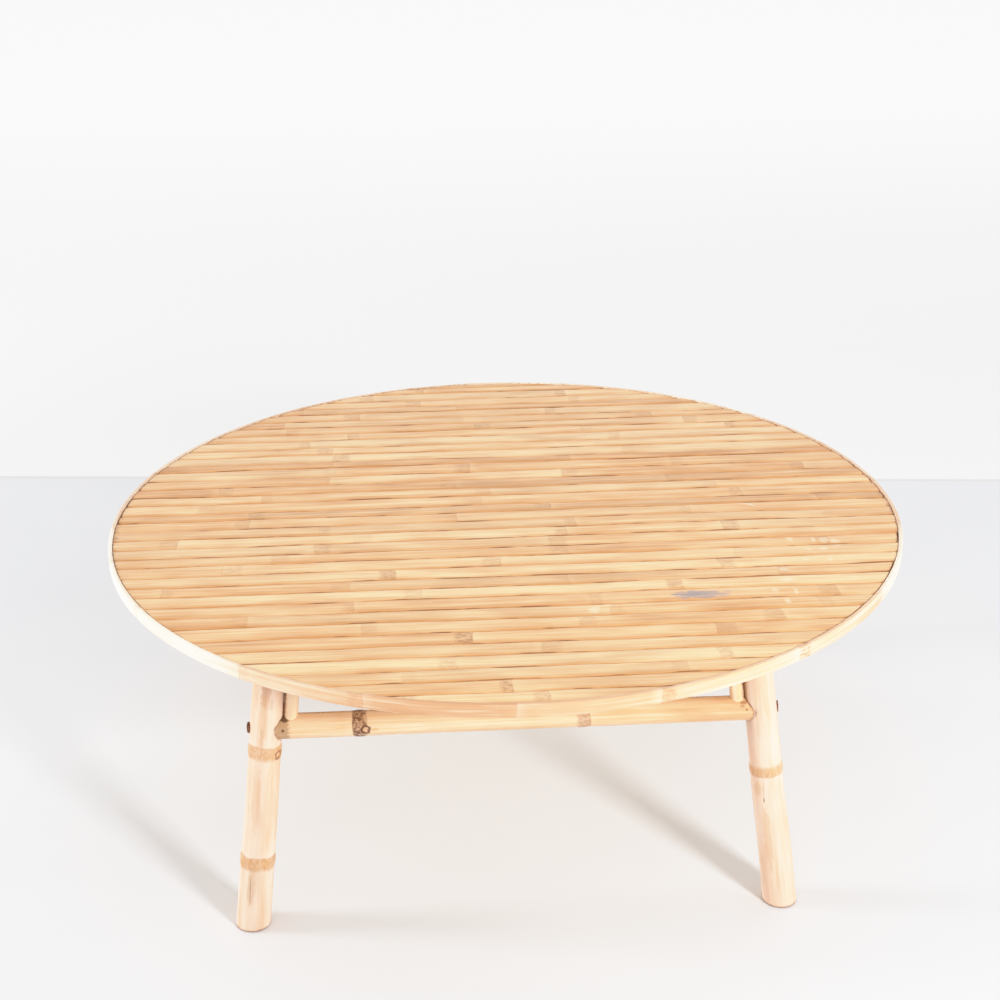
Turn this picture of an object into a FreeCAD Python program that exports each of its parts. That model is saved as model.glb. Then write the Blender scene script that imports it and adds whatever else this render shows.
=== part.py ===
import FreeCAD, Part
import math
import os

# Round low table with a top of split bamboo slats and four legs that fold under it.
# Millimetres. The origin is on the floor under the middle of the top, +Z is up,
# the slats run along X and the front of the table faces -Y.

Vector = FreeCAD.Vector

# Table top
table_height = 390.0
top_radius = 500.0
band_thickness = 5.0
band_height = 16.0
band_edge_bevel = 1.0
backing_thickness = 8.0

# Scarf joint where the two ends of the bent rim band meet, at the back
scarf_angle_deg = 8.0
scarf_cut_length = 80.0
scarf_gap = 0.4

# Slats, front to back: how wide each one is, beside its neighbours
slat_thickness = 7.0
slat_crown = 1.6
slat_joint = 1.0
slat_end_gap = 0.8
slat_drop = 0.8
slat_width_shares = (
    0.90, 1.05, 0.90, 1.10, 1.00, 1.05, 1.10, 1.00, 1.05, 1.00, 0.95, 1.05, 1.05,
    0.95, 1.05, 1.00, 1.00, 1.05, 0.80, 1.20, 0.95, 1.00, 1.10, 1.15, 0.75, 1.10,
    0.95, 1.10, 0.95, 1.05, 0.90, 1.10, 0.80, 1.00, 1.10, 0.80, 0.50,
)

# Places of the four fold pivots, and the lean of the legs
frame_shift = -7.0
pivot_half_span = 288.0
pivot_half_depth = 302.0
pivot_height = 260.0
side_splay_deg = 6.4
end_splay_deg = 3.0

# Legs
leg_pivot_diameter = 36.0
leg_foot_diameter = 41.0
leg_node_length = 15.0
leg_node_swell = 1.1
leg_head_clearance = 0.5
leg_head_spare = 20.0
foot_edge_round = 2.5
foot_hollow_diameter = 17.0
foot_hollow_depth = 46.0
head_hollow_diameter = 14.0
head_hollow_depth = 40.0
leg_node_height_shares = {
    "front_left": (0.195, 0.567),
    "front_right": (0.445,),
    "back_left": (0.330, 0.720),
    "back_right": (0.150, 0.520),
}

# Sockets in the legs, where the crossbar ends turn
socket_floor_offset = 9.0
socket_clearance = 0.3

# Crossbars
crossbar_diameter = 29.0
crossbar_edge_bevel = 0.6
crossbar_node_length = 13.0
crossbar_node_swell = 1.0
front_crossbar_node_shares = (-0.604, 0.267)
back_crossbar_node_shares = (-0.330, 0.560)

# Hanger posts between the crossbars and the underside of the top
post_diameter = 15.5
post_offset = 30.0

# Pivot pins
pin_diameter = 10.0
pin_running_clearance = 0.08
pin_glue_gap = 0.05
pin_end_wall = 3.0
pin_head_diameter = 12.5
pin_head_length = 4.0
pin_head_round = 1.4
pin_head_clearance = 0.3

# Stop battens under the top, which the leg heads lean against, and cross battens
stop_clearance = 0.3
stop_batten_width = 22.0
batten_depth = 20.0
stop_batten_overhang = 14.0
cross_batten_width = 30.0
cross_batten_half_spacing = 150.0
batten_edge_bevel = 1.5

# Screws that hold the battens, driven from below
batten_screw_shank_diameter = 4.0
batten_screw_head_diameter = 8.0
batten_screw_head_height = 3.2
batten_screw_grip = 5.5
screw_fit_gap = 0.05
screw_slot_width = 1.1
screw_slot_depth = 1.0
stop_batten_screw_shares = (-0.84, -0.28, 0.28, 0.84)
cross_batten_screw_shares = (-0.80, -0.27, 0.27, 0.80)

# Long screws through the backing disc and the posts into the crossbars
hanger_screw_shank_diameter = 4.5
hanger_screw_head_diameter = 9.0
hanger_screw_head_height = 2.6
hanger_screw_sink = 0.8
hanger_screw_bite = 15.0

# How far a cutting body runs past what it cuts
overrun = 2.0

# Places that follow from the sizes above
band_inner_radius = top_radius - band_thickness
slat_crown_level = table_height - slat_drop
backing_top = slat_crown_level - slat_thickness
underside = backing_top - backing_thickness
side_slope = math.tan(math.radians(side_splay_deg))
end_slope = math.tan(math.radians(end_splay_deg))
lean_length = math.sqrt(1 + side_slope ** 2 + end_slope ** 2)
leg_pivot_radius = leg_pivot_diameter / 2
leg_foot_radius = leg_foot_diameter / 2
crossbar_radius = crossbar_diameter / 2
crossbar_half_length = pivot_half_span - socket_floor_offset - socket_clearance
head_reach = underside - pivot_height - leg_head_clearance

# The pins stop short of the screws that come down the posts
pin_room = post_offset - socket_floor_offset - socket_clearance
pin_depth = pin_room - hanger_screw_shank_diameter / 2 - pin_end_wall

# The corners of the table: side is -1 left and +1 right, end is -1 front and +1 back
corners = {
    "front_left": (-1, -1),
    "front_right": (1, -1),
    "back_left": (-1, 1),
    "back_right": (1, 1),
}


def pivot_point(side, end):
    """Where the fold axis crosses the axis of one leg."""
    return Vector(frame_shift + side * pivot_half_span, end * pivot_half_depth, pivot_height)


def leg_up(side, end):
    """Direction of a leg's axis, from foot to head."""
    return Vector(-side * side_slope, -end * end_slope, 1) / lean_length


def cylinder(radius, length, base, direction):
    """Round bar of a radius and length that starts at base."""
    return Part.makeCylinder(radius, length, base, direction)


def block(low, high):
    """Box between two corners."""
    size = high - low
    return Part.makeBox(size.x, size.y, size.z, low)


def culm(radius_at, start, finish, node_places, node_length, node_swell):
    """Solid bamboo pole along Z, tapered by radius_at, with a swollen ring at each node."""
    half = node_length / 2
    outline = []
    last = Vector(radius_at(start), 0, start)
    outline.append(Part.LineSegment(Vector(0, 0, start), last))
    for place in sorted(node_places):
        below = Vector(radius_at(place - half), 0, place - half)
        crest = Vector(radius_at(place) + node_swell, 0, place)
        above = Vector(radius_at(place + half), 0, place + half)
        outline.append(Part.LineSegment(last, below))
        outline.append(Part.Arc(below, crest, above))
        last = above
    tip = Vector(radius_at(finish), 0, finish)
    outline.append(Part.LineSegment(last, tip))
    outline.append(Part.LineSegment(tip, Vector(0, 0, finish)))
    outline.append(Part.LineSegment(Vector(0, 0, finish), Vector(0, 0, start)))
    face = Part.Face(Part.Wire([piece.toShape() for piece in outline]))
    return face.revolve(Vector(0, 0, 0), Vector(0, 0, 1), 360)


def stand_along(shape, base, direction):
    """Turn a shape built along Z so that it runs along direction from base."""
    turn = FreeCAD.Rotation(Vector(0, 0, 1), direction)
    placed = shape.copy()
    placed.Placement = FreeCAD.Placement(base, turn)
    return placed


# Table top

def slat_edges():
    """Y of the joint lines between the slats, front to back, the rim included."""
    scale = 2 * band_inner_radius / sum(slat_width_shares)
    edges = [-band_inner_radius]
    for share in slat_width_shares:
        edges.append(edges[-1] + share * scale)
    return edges


def slat(front, back):
    """One split bamboo slat with a crowned face, cut to the circle of the top."""
    low_y = front + slat_joint / 2
    high_y = back - slat_joint / 2
    edge_level = slat_crown_level - slat_crown
    start = -band_inner_radius
    bottom_front = Vector(start, low_y, backing_top)
    top_front = Vector(start, low_y, edge_level)
    crest = Vector(start, (low_y + high_y) / 2, slat_crown_level)
    top_back = Vector(start, high_y, edge_level)
    bottom_back = Vector(start, high_y, backing_top)
    outline = [
        Part.LineSegment(bottom_front, top_front).toShape(),
        Part.Arc(top_front, crest, top_back).toShape(),
        Part.LineSegment(top_back, bottom_back).toShape(),
        Part.LineSegment(bottom_back, bottom_front).toShape(),
    ]
    strip = Part.Face(Part.Wire(outline)).extrude(Vector(2 * band_inner_radius, 0, 0))
    plan = cylinder(
        band_inner_radius - slat_end_gap,
        slat_thickness + 2 * overrun,
        Vector(0, 0, backing_top - overrun),
        Vector(0, 0, 1),
    )
    return strip.common(plan)


def rim_band():
    """Flat strip bent round the edge of the top, its ends lapped in a scarf joint."""
    low = Vector(0, 0, table_height - band_height)
    ring = cylinder(top_radius, band_height, low, Vector(0, 0, 1))
    outer_edges = [edge for edge in ring.Edges if hasattr(edge.Curve, "Radius")]
    ring = ring.makeChamfer(band_edge_bevel, outer_edges)
    hole_low = low - Vector(0, 0, overrun)
    hole = cylinder(band_inner_radius, band_height + 2 * overrun, hole_low, Vector(0, 0, 1))
    ring = ring.cut(hole)
    half_cut = Vector(scarf_cut_length / 2, scarf_gap / 2, band_height / 2 + overrun)
    slit = block(-half_cut, half_cut)
    slit.rotate(Vector(0, 0, 0), Vector(0, 0, 1), scarf_angle_deg)
    slit.translate(Vector(0, top_radius - band_thickness / 2, table_height - band_height / 2))
    return ring.cut(slit)


def backing_disc():
    """Plywood disc that carries the slats, bored for the screws."""
    disc = cylinder(band_inner_radius, backing_thickness, Vector(0, 0, underside), Vector(0, 0, 1))
    for side, end in corners.values():
        disc = disc.cut(hanger_screw(side, end, screw_fit_gap, overrun))
    for place in batten_screw_places():
        disc = disc.cut(batten_screw(place, screw_fit_gap))
    return disc


# Battens under the top

def stop_distance():
    """From the plane of a pair of pivots to the face that the leg heads lean against."""
    rise = underside - pivot_height
    head_radius = leg_radius(rise * lean_length)
    return rise * end_slope + head_radius * math.sqrt(1 + end_slope ** 2) + stop_clearance


def stop_batten_half_length():
    return pivot_half_span + stop_batten_overhang


def batten(low, high):
    """Planed strip under the top, its two lower edges and lower ends bevelled."""
    strip = block(low, high)
    lower = [edge for edge in strip.Edges if edge.BoundBox.ZMax < low.z + batten_edge_bevel / 2]
    return strip.makeChamfer(batten_edge_bevel, lower)


def stop_batten(end):
    """Batten along X that stops both legs of one pair upright."""
    near = pivot_half_depth - stop_distance()
    far = near - stop_batten_width
    low = Vector(
        frame_shift - stop_batten_half_length(), min(end * near, end * far), underside - batten_depth
    )
    high = Vector(frame_shift + stop_batten_half_length(), max(end * near, end * far), underside)
    strip = batten(low, high)
    for place in batten_screw_places():
        strip = strip.cut(batten_screw(place, screw_fit_gap))
    return strip


def cross_batten_half_length():
    return pivot_half_depth - stop_distance() - stop_batten_width


def cross_batten(side):
    """Batten along Y, across the slats, that fits between the two stop battens."""
    half = cross_batten_width / 2
    middle = side * cross_batten_half_spacing
    low = Vector(middle - half, -cross_batten_half_length(), underside - batten_depth)
    high = Vector(middle + half, cross_batten_half_length(), underside)
    strip = batten(low, high)
    for place in batten_screw_places():
        strip = strip.cut(batten_screw(place, screw_fit_gap))
    return strip


def batten_screw_places():
    """Middle of each screw head, on the lower faces of the battens."""
    level = underside - batten_depth
    stop_middle = pivot_half_depth - stop_distance() - stop_batten_width / 2
    places = []
    for end in (-1, 1):
        for share in stop_batten_screw_shares:
            along = frame_shift + share * stop_batten_half_length()
            places.append(Vector(along, end * stop_middle, level))
    for side in (-1, 1):
        for share in cross_batten_screw_shares:
            along = share * cross_batten_half_length()
            places.append(Vector(side * cross_batten_half_spacing, along, level))
    return places


def batten_screw(place, growth):
    """Countersunk screw that points up from place, all round larger by growth."""
    head_radius = batten_screw_head_diameter / 2 + growth
    shank_radius = batten_screw_shank_diameter / 2 + growth
    head = Part.makeCone(head_radius, shank_radius, batten_screw_head_height, place, Vector(0, 0, 1))
    shank = cylinder(shank_radius, batten_depth + batten_screw_grip + growth, place, Vector(0, 0, 1))
    return head.fuse(shank)


def batten_screws():
    """All the batten screws, each with a slotted head."""
    half_slot = Vector(batten_screw_head_diameter, screw_slot_width / 2, screw_slot_depth)
    screws = []
    for place in batten_screw_places():
        slot = block(place - half_slot, place + half_slot)
        screws.append(batten_screw(place, 0).cut(slot).removeSplitter())
    return Part.makeCompound(screws)


# Crossbars, posts and the screws that hang them

def crossbar_shape(node_shares):
    """Bamboo pole along X, between the sockets of two legs, bored for the pivot pins."""
    nodes = [share * pivot_half_span for share in node_shares]
    pole = culm(
        lambda along: crossbar_radius,
        -crossbar_half_length,
        crossbar_half_length,
        nodes,
        crossbar_node_length,
        crossbar_node_swell,
    )
    rims = [edge for edge in pole.Edges if abs(abs(edge.BoundBox.Center.z) - crossbar_half_length)
            < crossbar_edge_bevel and hasattr(edge.Curve, "Radius")]
    return pole.makeChamfer(crossbar_edge_bevel, rims)


def crossbar(end, node_shares):
    """The crossbar of the front or back pair of legs."""
    middle = Vector(frame_shift, end * pivot_half_depth, pivot_height)
    pole = stand_along(crossbar_shape(node_shares), middle, Vector(1, 0, 0))
    for side in (-1, 1):
        tip = middle + Vector(side * (crossbar_half_length + overrun), 0, 0)
        bore_length = pin_depth + overrun + pin_glue_gap
        bore_radius = pin_diameter / 2 + pin_glue_gap
        pole = pole.cut(cylinder(bore_radius, bore_length, tip, Vector(-side, 0, 0)))
        pole = pole.cut(hanger_screw(side, end, screw_fit_gap, 0))
    return pole


def post_direction(side):
    """Direction of a hanger post, leaning with the legs beside it."""
    return Vector(-side * side_slope, 0, 1) / math.sqrt(1 + side_slope ** 2)


def post_foot(side, end):
    """Where the axis of a hanger post meets the axis of its crossbar."""
    return pivot_point(side, end) - Vector(side * post_offset, 0, 0)


def post_axis_length():
    """Along a post's axis, from the crossbar's axis to the underside of the top."""
    return (underside - pivot_height) * math.sqrt(1 + side_slope ** 2)


def hanger_post(side, end):
    """Short bamboo post, fish-mouthed over the crossbar and cut flat under the top."""
    foot = post_foot(side, end)
    post = cylinder(post_diameter / 2, post_axis_length() + post_diameter, foot, post_direction(side))
    saddle = cylinder(
        crossbar_radius, 2 * post_diameter, foot - Vector(post_diameter, 0, 0), Vector(1, 0, 0)
    )
    reach = Vector(pivot_half_span, post_diameter, 0)
    above = block(
        Vector(foot.x, foot.y, underside) - reach,
        Vector(foot.x, foot.y, underside + 2 * post_diameter) + reach,
    )
    post = post.cut(saddle).cut(above)
    return post.cut(hanger_screw(side, end, screw_fit_gap, 0))


def hanger_screw(side, end, growth, head_growth):
    """Long screw down a post's axis, grown all round by growth and above by head_growth."""
    axis = post_direction(side)
    stretch = math.sqrt(1 + side_slope ** 2)
    head_top = (backing_top - hanger_screw_sink - pivot_height) * stretch
    head_bottom = head_top - hanger_screw_head_height
    tip = crossbar_radius - hanger_screw_bite
    foot = post_foot(side, end)
    head = cylinder(
        hanger_screw_head_diameter / 2 + growth,
        hanger_screw_head_height + head_growth,
        foot + axis * head_bottom,
        axis,
    )
    shank = cylinder(
        hanger_screw_shank_diameter / 2 + growth,
        head_bottom - tip + growth,
        foot + axis * (tip - growth),
        axis,
    )
    return head.fuse(shank)


def hanger_screws():
    """The four long screws that hang the crossbars from the top."""
    screws = [hanger_screw(side, end, 0, 0).removeSplitter() for side, end in corners.values()]
    return Part.makeCompound(screws)


# Legs and their pivot pins

def leg_radius(along):
    """Radius of a leg at a distance along its axis, measured up from the pivot."""
    foot_distance = pivot_height * lean_length
    return leg_pivot_radius - (leg_foot_radius - leg_pivot_radius) * along / foot_distance


def leg(side, end, node_height_shares):
    """Bamboo leg with its foot cut level, a socket for the crossbar and a rounded head."""
    pivot = pivot_point(side, end)
    up = leg_up(side, end)
    foot_end = -(pivot_height + leg_foot_radius) * lean_length
    head_end = (underside - pivot_height + leg_head_spare) * lean_length
    nodes = [(share * table_height - pivot_height) * lean_length for share in node_height_shares]
    pole = culm(leg_radius, foot_end, head_end, nodes, leg_node_length, leg_node_swell)
    pole = stand_along(pole, pivot, up)

    reach = Vector(pivot_half_span, pivot_half_span, 0)
    ground = block(Vector(pivot.x, pivot.y, foot_end) - reach, Vector(pivot.x, pivot.y, 0) + reach)
    pole = pole.cut(ground)
    rim = [edge for edge in pole.Edges if edge.BoundBox.ZMax < foot_edge_round / 2]
    pole = pole.makeFillet(foot_edge_round, rim)

    width = Vector(leg_pivot_diameter, leg_pivot_diameter, 0)
    crown = block(
        Vector(pivot.x, pivot.y, pivot_height + crossbar_diameter) - width,
        Vector(pivot.x, pivot.y, table_height + leg_head_spare) + width,
    )
    swing_start = pivot - Vector(2 * leg_pivot_diameter, 0, 0)
    swing = cylinder(head_reach, 4 * leg_pivot_diameter, swing_start, Vector(1, 0, 0))
    pole = pole.cut(crown.cut(swing))

    foot_hole_start = pivot - up * (pivot_height + leg_foot_radius) * lean_length
    foot_hole_length = leg_foot_radius * lean_length + foot_hollow_depth
    pole = pole.cut(cylinder(foot_hollow_diameter / 2, foot_hole_length, foot_hole_start, up))
    head_hole_start = pivot + up * (head_reach - head_hollow_depth)
    pole = pole.cut(cylinder(head_hollow_diameter / 2, 2 * head_hollow_depth, head_hole_start, up))

    inward = Vector(-side, 0, 0)
    socket_floor = pivot + inward * socket_floor_offset
    socket_radius = crossbar_radius + socket_clearance
    pole = pole.cut(cylinder(socket_radius, leg_pivot_diameter, socket_floor, inward))
    bore_start = socket_floor + inward * overrun
    bore_radius = pin_diameter / 2 + pin_running_clearance
    pole = pole.cut(cylinder(bore_radius, 2 * leg_pivot_diameter, bore_start, -inward))
    return pole


def pivot_pin(side, end):
    """Round wooden pin, glued into the crossbar end, with a domed head outside the leg."""
    outward = Vector(side, 0, 0)
    pivot = pivot_point(side, end)
    tip = pivot - outward * (socket_floor_offset + socket_clearance + pin_depth)
    surface = leg_pivot_radius * math.sqrt(1 + side_slope ** 2)
    tilt = pin_head_diameter / 2 * side_slope
    seat = pivot + outward * (surface + tilt + pin_head_clearance)
    shank = cylinder(pin_diameter / 2, (seat - tip).Length, tip, outward)
    head = cylinder(pin_head_diameter / 2, pin_head_length, seat, outward)
    face_x = seat.x + side * pin_head_length
    rim = [edge for edge in head.Edges if abs(edge.BoundBox.Center.x - face_x) < pin_head_length / 2
           and hasattr(edge.Curve, "Radius")]
    head = head.makeFillet(pin_head_round, rim)
    return shank.fuse(head).removeSplitter()


# All the nodes, by name

def build():
    """Shape of every piece, by the name of its node."""
    nodes = {}
    edges = slat_edges()
    for number in range(len(slat_width_shares)):
        nodes["slat_%02d" % (number + 1)] = slat(edges[number], edges[number + 1])
    nodes["rim_band"] = rim_band()
    nodes["backing_disc"] = backing_disc()
    nodes["front_stop_batten"] = stop_batten(-1)
    nodes["back_stop_batten"] = stop_batten(1)
    nodes["left_cross_batten"] = cross_batten(-1)
    nodes["right_cross_batten"] = cross_batten(1)
    nodes["batten_screws"] = batten_screws()
    nodes["hanger_screws"] = hanger_screws()
    nodes["front_crossbar"] = crossbar(-1, front_crossbar_node_shares)
    nodes["back_crossbar"] = crossbar(1, back_crossbar_node_shares)
    for corner, (side, end) in corners.items():
        nodes[corner + "_hanger_post"] = hanger_post(side, end)
        nodes[corner + "_leg"] = leg(side, end, leg_node_height_shares[corner])
        nodes[corner + "_pivot_pin"] = pivot_pin(side, end)
    return nodes


os.makedirs("parts", exist_ok=True)
for name, shape in build().items():
    shape.exportStep("parts/%s.step" % name)
    print(name, "solids", len(shape.Solids), "valid", shape.isValid(), "volume", round(shape.Volume, 1))
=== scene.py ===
"""Round folding low table of split bamboo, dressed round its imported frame.

The top is 37 split slats inside a bent rim band, on four bamboo legs that fold about the ends of two
crossbars. Each class below makes one group of pieces as closed skins worked out on numpy grids, in metres, in
the frame's own place, and dresses them in procedural materials. All seeds are fixed, so every run is the same.
"""

import logging
import math
from dataclasses import dataclass, replace
from enum import Enum

import bpy
import numpy as np
from mathutils import Matrix, Vector


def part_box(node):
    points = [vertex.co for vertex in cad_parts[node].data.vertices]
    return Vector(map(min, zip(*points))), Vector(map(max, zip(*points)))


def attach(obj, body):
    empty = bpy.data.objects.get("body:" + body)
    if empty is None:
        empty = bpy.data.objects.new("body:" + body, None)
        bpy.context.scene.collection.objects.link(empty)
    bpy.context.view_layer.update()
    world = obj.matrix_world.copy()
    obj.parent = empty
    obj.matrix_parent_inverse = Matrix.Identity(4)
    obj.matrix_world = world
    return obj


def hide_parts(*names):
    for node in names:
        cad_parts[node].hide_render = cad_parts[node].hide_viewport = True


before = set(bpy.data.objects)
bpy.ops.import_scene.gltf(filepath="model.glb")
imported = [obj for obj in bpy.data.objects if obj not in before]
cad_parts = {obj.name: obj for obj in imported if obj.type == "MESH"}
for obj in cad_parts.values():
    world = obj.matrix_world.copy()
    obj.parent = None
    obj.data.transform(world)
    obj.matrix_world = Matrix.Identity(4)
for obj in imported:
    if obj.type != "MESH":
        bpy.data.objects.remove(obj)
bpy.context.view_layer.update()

log = logging.getLogger("low_table")

Material = bpy.types.Material

MM = 0.001
TABLE_BODY = "table_top"
FULL_TURN = 2 * math.pi
SHARP_ANGLE = math.radians(38)  # faces that meet at more than this keep a hard edge
NOWHERE = 10.0  # a place farther off than any part of the table
ANY_MM = 10_000.0  # a stain's reach, in mm, along an axis that doesn't bound it
USUAL_NOISE = 0.26  # how far the usual noise strays from its middle
VECTOR_MARKS = ("fibre_place", "knot_place", "node_look", "stretch_shade")
NUMBER_MARKS = ("across", "cut_share", "soil_and_shade_share", "node_reach")


# Names of places and shades

class Corner(Enum):
    """The four legs' corners, as (side, end): side -1 is left, end -1 is front."""

    FRONT_LEFT = (-1, -1)
    FRONT_RIGHT = (1, -1)
    BACK_LEFT = (-1, 1)
    BACK_RIGHT = (1, 1)

    @property
    def side(self) -> int:
        """-1 on the left and 1 on the right."""
        return self.value[0]

    @property
    def end(self) -> int:
        """-1 at the front and 1 at the back."""
        return self.value[1]

    @property
    def label(self) -> str:
        """The corner as it stands in the names of nodes."""
        return self.name.lower()


class Shade(Enum):
    """How dark a stretch of bamboo skin is, from cream (0) over honey (0.5) to brown (1): mostly how it has aged, and
    on the band partly painted light and shade.
    """

    # PALE serves the band's left stretches, whitened as painted light
    PALE = 0.03
    CREAM = 0.12
    STRAW = 0.26
    HONEY = 0.40
    AMBER = 0.50
    BROWN = 0.70


class Grain(Enum):
    """The way that the grain of a sawn board runs."""

    ALONG_X = "x"
    ALONG_Y = "y"


# Small helpers for meshes

def ripple(place: np.ndarray, seed: int, lengths: tuple[float, ...], size: float) -> np.ndarray:
    """Add sine waves of the given lengths, each with a phase drawn from the seed, and scale their mean.

    Args:
        place: Distances along the piece, in metres.
        seed: Seed of the phases.
        lengths: Wave lengths in metres.
        size: About the largest value of the result.

    Returns:
        The wave at each place.
    """
    phases = np.random.default_rng(seed).uniform(0, FULL_TURN, len(lengths))
    waves = np.sin(FULL_TURN * place[..., None] / np.array(lengths) + phases)
    return size * waves.mean(axis=-1)


def near(distance: np.ndarray, reach: float) -> np.ndarray:
    """Bell curve: 1 at distance 0, and e to the power -(distance / reach) squared elsewhere."""
    return np.exp(-((distance / reach) ** 2))


def smooth_step(value: np.ndarray, low: float, high: float) -> np.ndarray:
    """0 below low, 1 above high, and 3 t squared minus 2 t cubed between."""
    share = np.clip((value - low) / (high - low), 0, 1)
    return share * share * (3 - 2 * share)


def turns_round(count: int) -> np.ndarray:
    """Angles at even steps round a circle, from 0."""
    return np.arange(count) * FULL_TURN / count


def signed_turn(angle: np.ndarray) -> np.ndarray:
    """The same angle between minus half a turn and half a turn."""
    return (angle + math.pi) % FULL_TURN - math.pi


def unit(vector: np.ndarray) -> np.ndarray:
    """The vector at length 1."""
    return vector / np.linalg.norm(vector)


@dataclass
class Run:
    """The nodes along one length of bamboo.

    A node's mark starts at a ring, half a mark before the node's centre, and runs on in the node's direction.
    The shade of the skin changes at the ring. shades and tints (how grey the skin has turned) have one value
    more than places.
    """

    places: np.ndarray
    centres: np.ndarray
    shades: np.ndarray
    tints: np.ndarray
    directions: np.ndarray
    mark_lengths: np.ndarray
    depths: np.ndarray
    pits: np.ndarray

    @classmethod
    def grown(cls, places: tuple[float, ...], shade: float, seed: int, spread: float = 0.09,
              marks: tuple[float, float] = (12 * MM, 24 * MM), pits: tuple[float, ...] = ()) -> "Run":
        """Give a length of bamboo its node marks and the shades of its stretches.

        Args:
            places: Where the nodes' middles are along the length, in metres.
            shade: Middle shade of the length, as a share.
            seed: Seed of the differences between the stretches and between the nodes.
            spread: Standard difference of a stretch's shade.
            marks: Shortest and longest node mark.
            pits: How pitted by root buds each node is, from 0 to 1.

        Returns:
            The run, with a far-off node without a mark where the length has none.
        """
        draw = np.random.default_rng(seed)
        count = max(len(places), 1)
        centres = np.array(sorted(places) or [NOWHERE])
        depths = draw.uniform(0.3, 1.0, count) if places else np.zeros(count)
        shades = np.clip(shade + draw.normal(0, spread, count + 1), 0, 1.15)
        tints = draw.uniform(0, 1, count + 1) ** 2
        directions = draw.choice([-1.0, 1.0], count)
        lengths = draw.uniform(*marks, count)
        return cls(places=centres - 0.5 * lengths * directions, centres=centres, shades=shades, tints=tints,
                   directions=directions, mark_lengths=lengths, depths=depths,
                   pits=np.array(pits) if pits else 0.7 * draw.uniform(0, 1, count) ** 3)


@dataclass
class Skin:
    """One closed skin: rows of points round a piece, one row after the other along it.

    The points of a row go anticlockwise as seen against the way that the rows follow each other, so every
    face looks outwards. The first and the last row are closed with a cap.
    """

    points: np.ndarray
    fibre: np.ndarray
    run: Run
    across: np.ndarray | None = None
    cut: np.ndarray | None = None
    # how much dirt or painted shade darkens each point
    soil_and_shade: np.ndarray | None = None
    knot: tuple[float, float, float] = (NOWHERE, NOWHERE, NOWHERE)

    def faces(self) -> tuple[np.ndarray, np.ndarray, np.ndarray]:
        """Number the corners of the faces.

        Returns:
            Quads between neighbouring rows, and the corners of the first and the last cap.
        """
        rows, columns = self.points.shape[:2]
        row = np.arange(rows - 1)[:, None] * columns
        here = np.arange(columns)[None, :]
        beside = (here + 1) % columns
        quads = np.stack([row + here, row + beside, row + columns + beside, row + columns + here], axis=-1)
        return quads.reshape(-1, 4), np.arange(columns)[::-1], (rows - 1) * columns + np.arange(columns)

    def mesh(self, name: str) -> bpy.types.Mesh:
        """Make the skin's mesh, without attributes or material.

        Args:
            name: Name of the mesh.

        Returns:
            The new mesh.
        """
        quads, first, last = self.faces()
        mesh = bpy.data.meshes.new(name)
        mesh.from_pydata(self.points.reshape(-1, 3).tolist(), [], quads.tolist() + [first.tolist(), last.tolist()])
        return mesh

    def build(self, name: str, material: Material, body: str, slot: str, *nodes: str) -> bpy.types.Object:
        """Put the skin into a mesh object, with what its material reads, and join it to the frame.

        Args:
            name: Name of the piece.
            material: Its material.
            body: CAD body that it rides on.
            slot: The record's material slot; not used.
            nodes: CAD nodes that it stands for.

        Returns:
            The new object.
        """
        mesh = self.mesh(name)
        self.mark(mesh)
        mesh.materials.append(material)
        mesh.shade_smooth()
        mesh.set_sharp_from_angle(angle=SHARP_ANGLE)
        piece = bpy.data.objects.new(name, mesh)
        bpy.context.scene.collection.objects.link(piece)
        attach(piece, body)
        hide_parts(*nodes)
        log.info("%s: %d faces on %s for %s", name, len(mesh.polygons), body, ", ".join(nodes))
        return piece

    def mark(self, mesh: bpy.types.Mesh) -> None:
        """Write the attributes that the bamboo materials read.

        Each face belongs to its nearest node, so the distance to the ring is kept per face corner: it jumps
        only between faces, half way between two nodes, and never runs through zero there.

        Args:
            mesh: The skin's mesh.
        """
        quads, first, last = self.faces()
        count = self.points.shape[0] * self.points.shape[1]
        along = self.fibre[..., 0].ravel()
        corners = np.concatenate([quads.ravel(), first, last])
        sizes = np.concatenate([np.full(len(quads), 4), [len(first), len(last)]])
        middles = np.concatenate([along[quads].mean(axis=1), [along[first].mean(), along[last].mean()]])
        nearest = np.repeat(np.abs(middles[:, None] - self.run.places[None, :]).argmin(axis=1), sizes)
        way = self.run.directions[nearest]
        reach = (along[corners] - self.run.places[nearest]) * way
        low, high = self.run.shades[nearest], self.run.shades[nearest + 1]
        before, after = np.where(way > 0, low, high), np.where(way > 0, high, low)
        tint = self.run.tints[nearest + (along[corners] > self.run.places[nearest])]
        look = np.stack([self.run.mark_lengths, self.run.depths, self.run.pits], axis=-1)[nearest]
        flat = np.zeros(count)
        points = {
            "fibre_place": self.fibre, "knot_place": np.tile(self.knot, (count, 1)),
            "across": flat if self.across is None else self.across,
            "cut_share": flat if self.cut is None else self.cut,
            "soil_and_shade_share": flat if self.soil_and_shade is None else self.soil_and_shade}
        shades = np.stack([before, after, tint], axis=-1)
        per_corner = {"node_reach": reach, "node_look": look, "stretch_shade": shades}
        for domain, values in (("POINT", points), ("CORNER", per_corner)):
            for name, data in values.items():
                kind, channel = ("FLOAT_VECTOR", "vector") if name in VECTOR_MARKS else ("FLOAT", "value")
                layer = mesh.attributes.new(name, kind, domain)
                layer.data.foreach_set(channel, np.ascontiguousarray(data, dtype=np.float32).ravel())


# Materials

def linear(colour: str) -> tuple[float, float, float, float]:
    """Turn an sRGB colour into linear light: ((c + 0.055) / 1.055) to the power 2.4, or c / 12.92 if dark.

    Args:
        colour: Hex colour, such as #E8B27C.

    Returns:
        Red, green, blue and alpha.
    """
    shares = (int(colour[place:place + 2], 16) / 255 for place in (1, 3, 5))
    light = [share / 12.92 if share <= 0.04045 else ((share + 0.055) / 1.055) ** 2.4 for share in shares]
    return (*light, 1.0)


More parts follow.
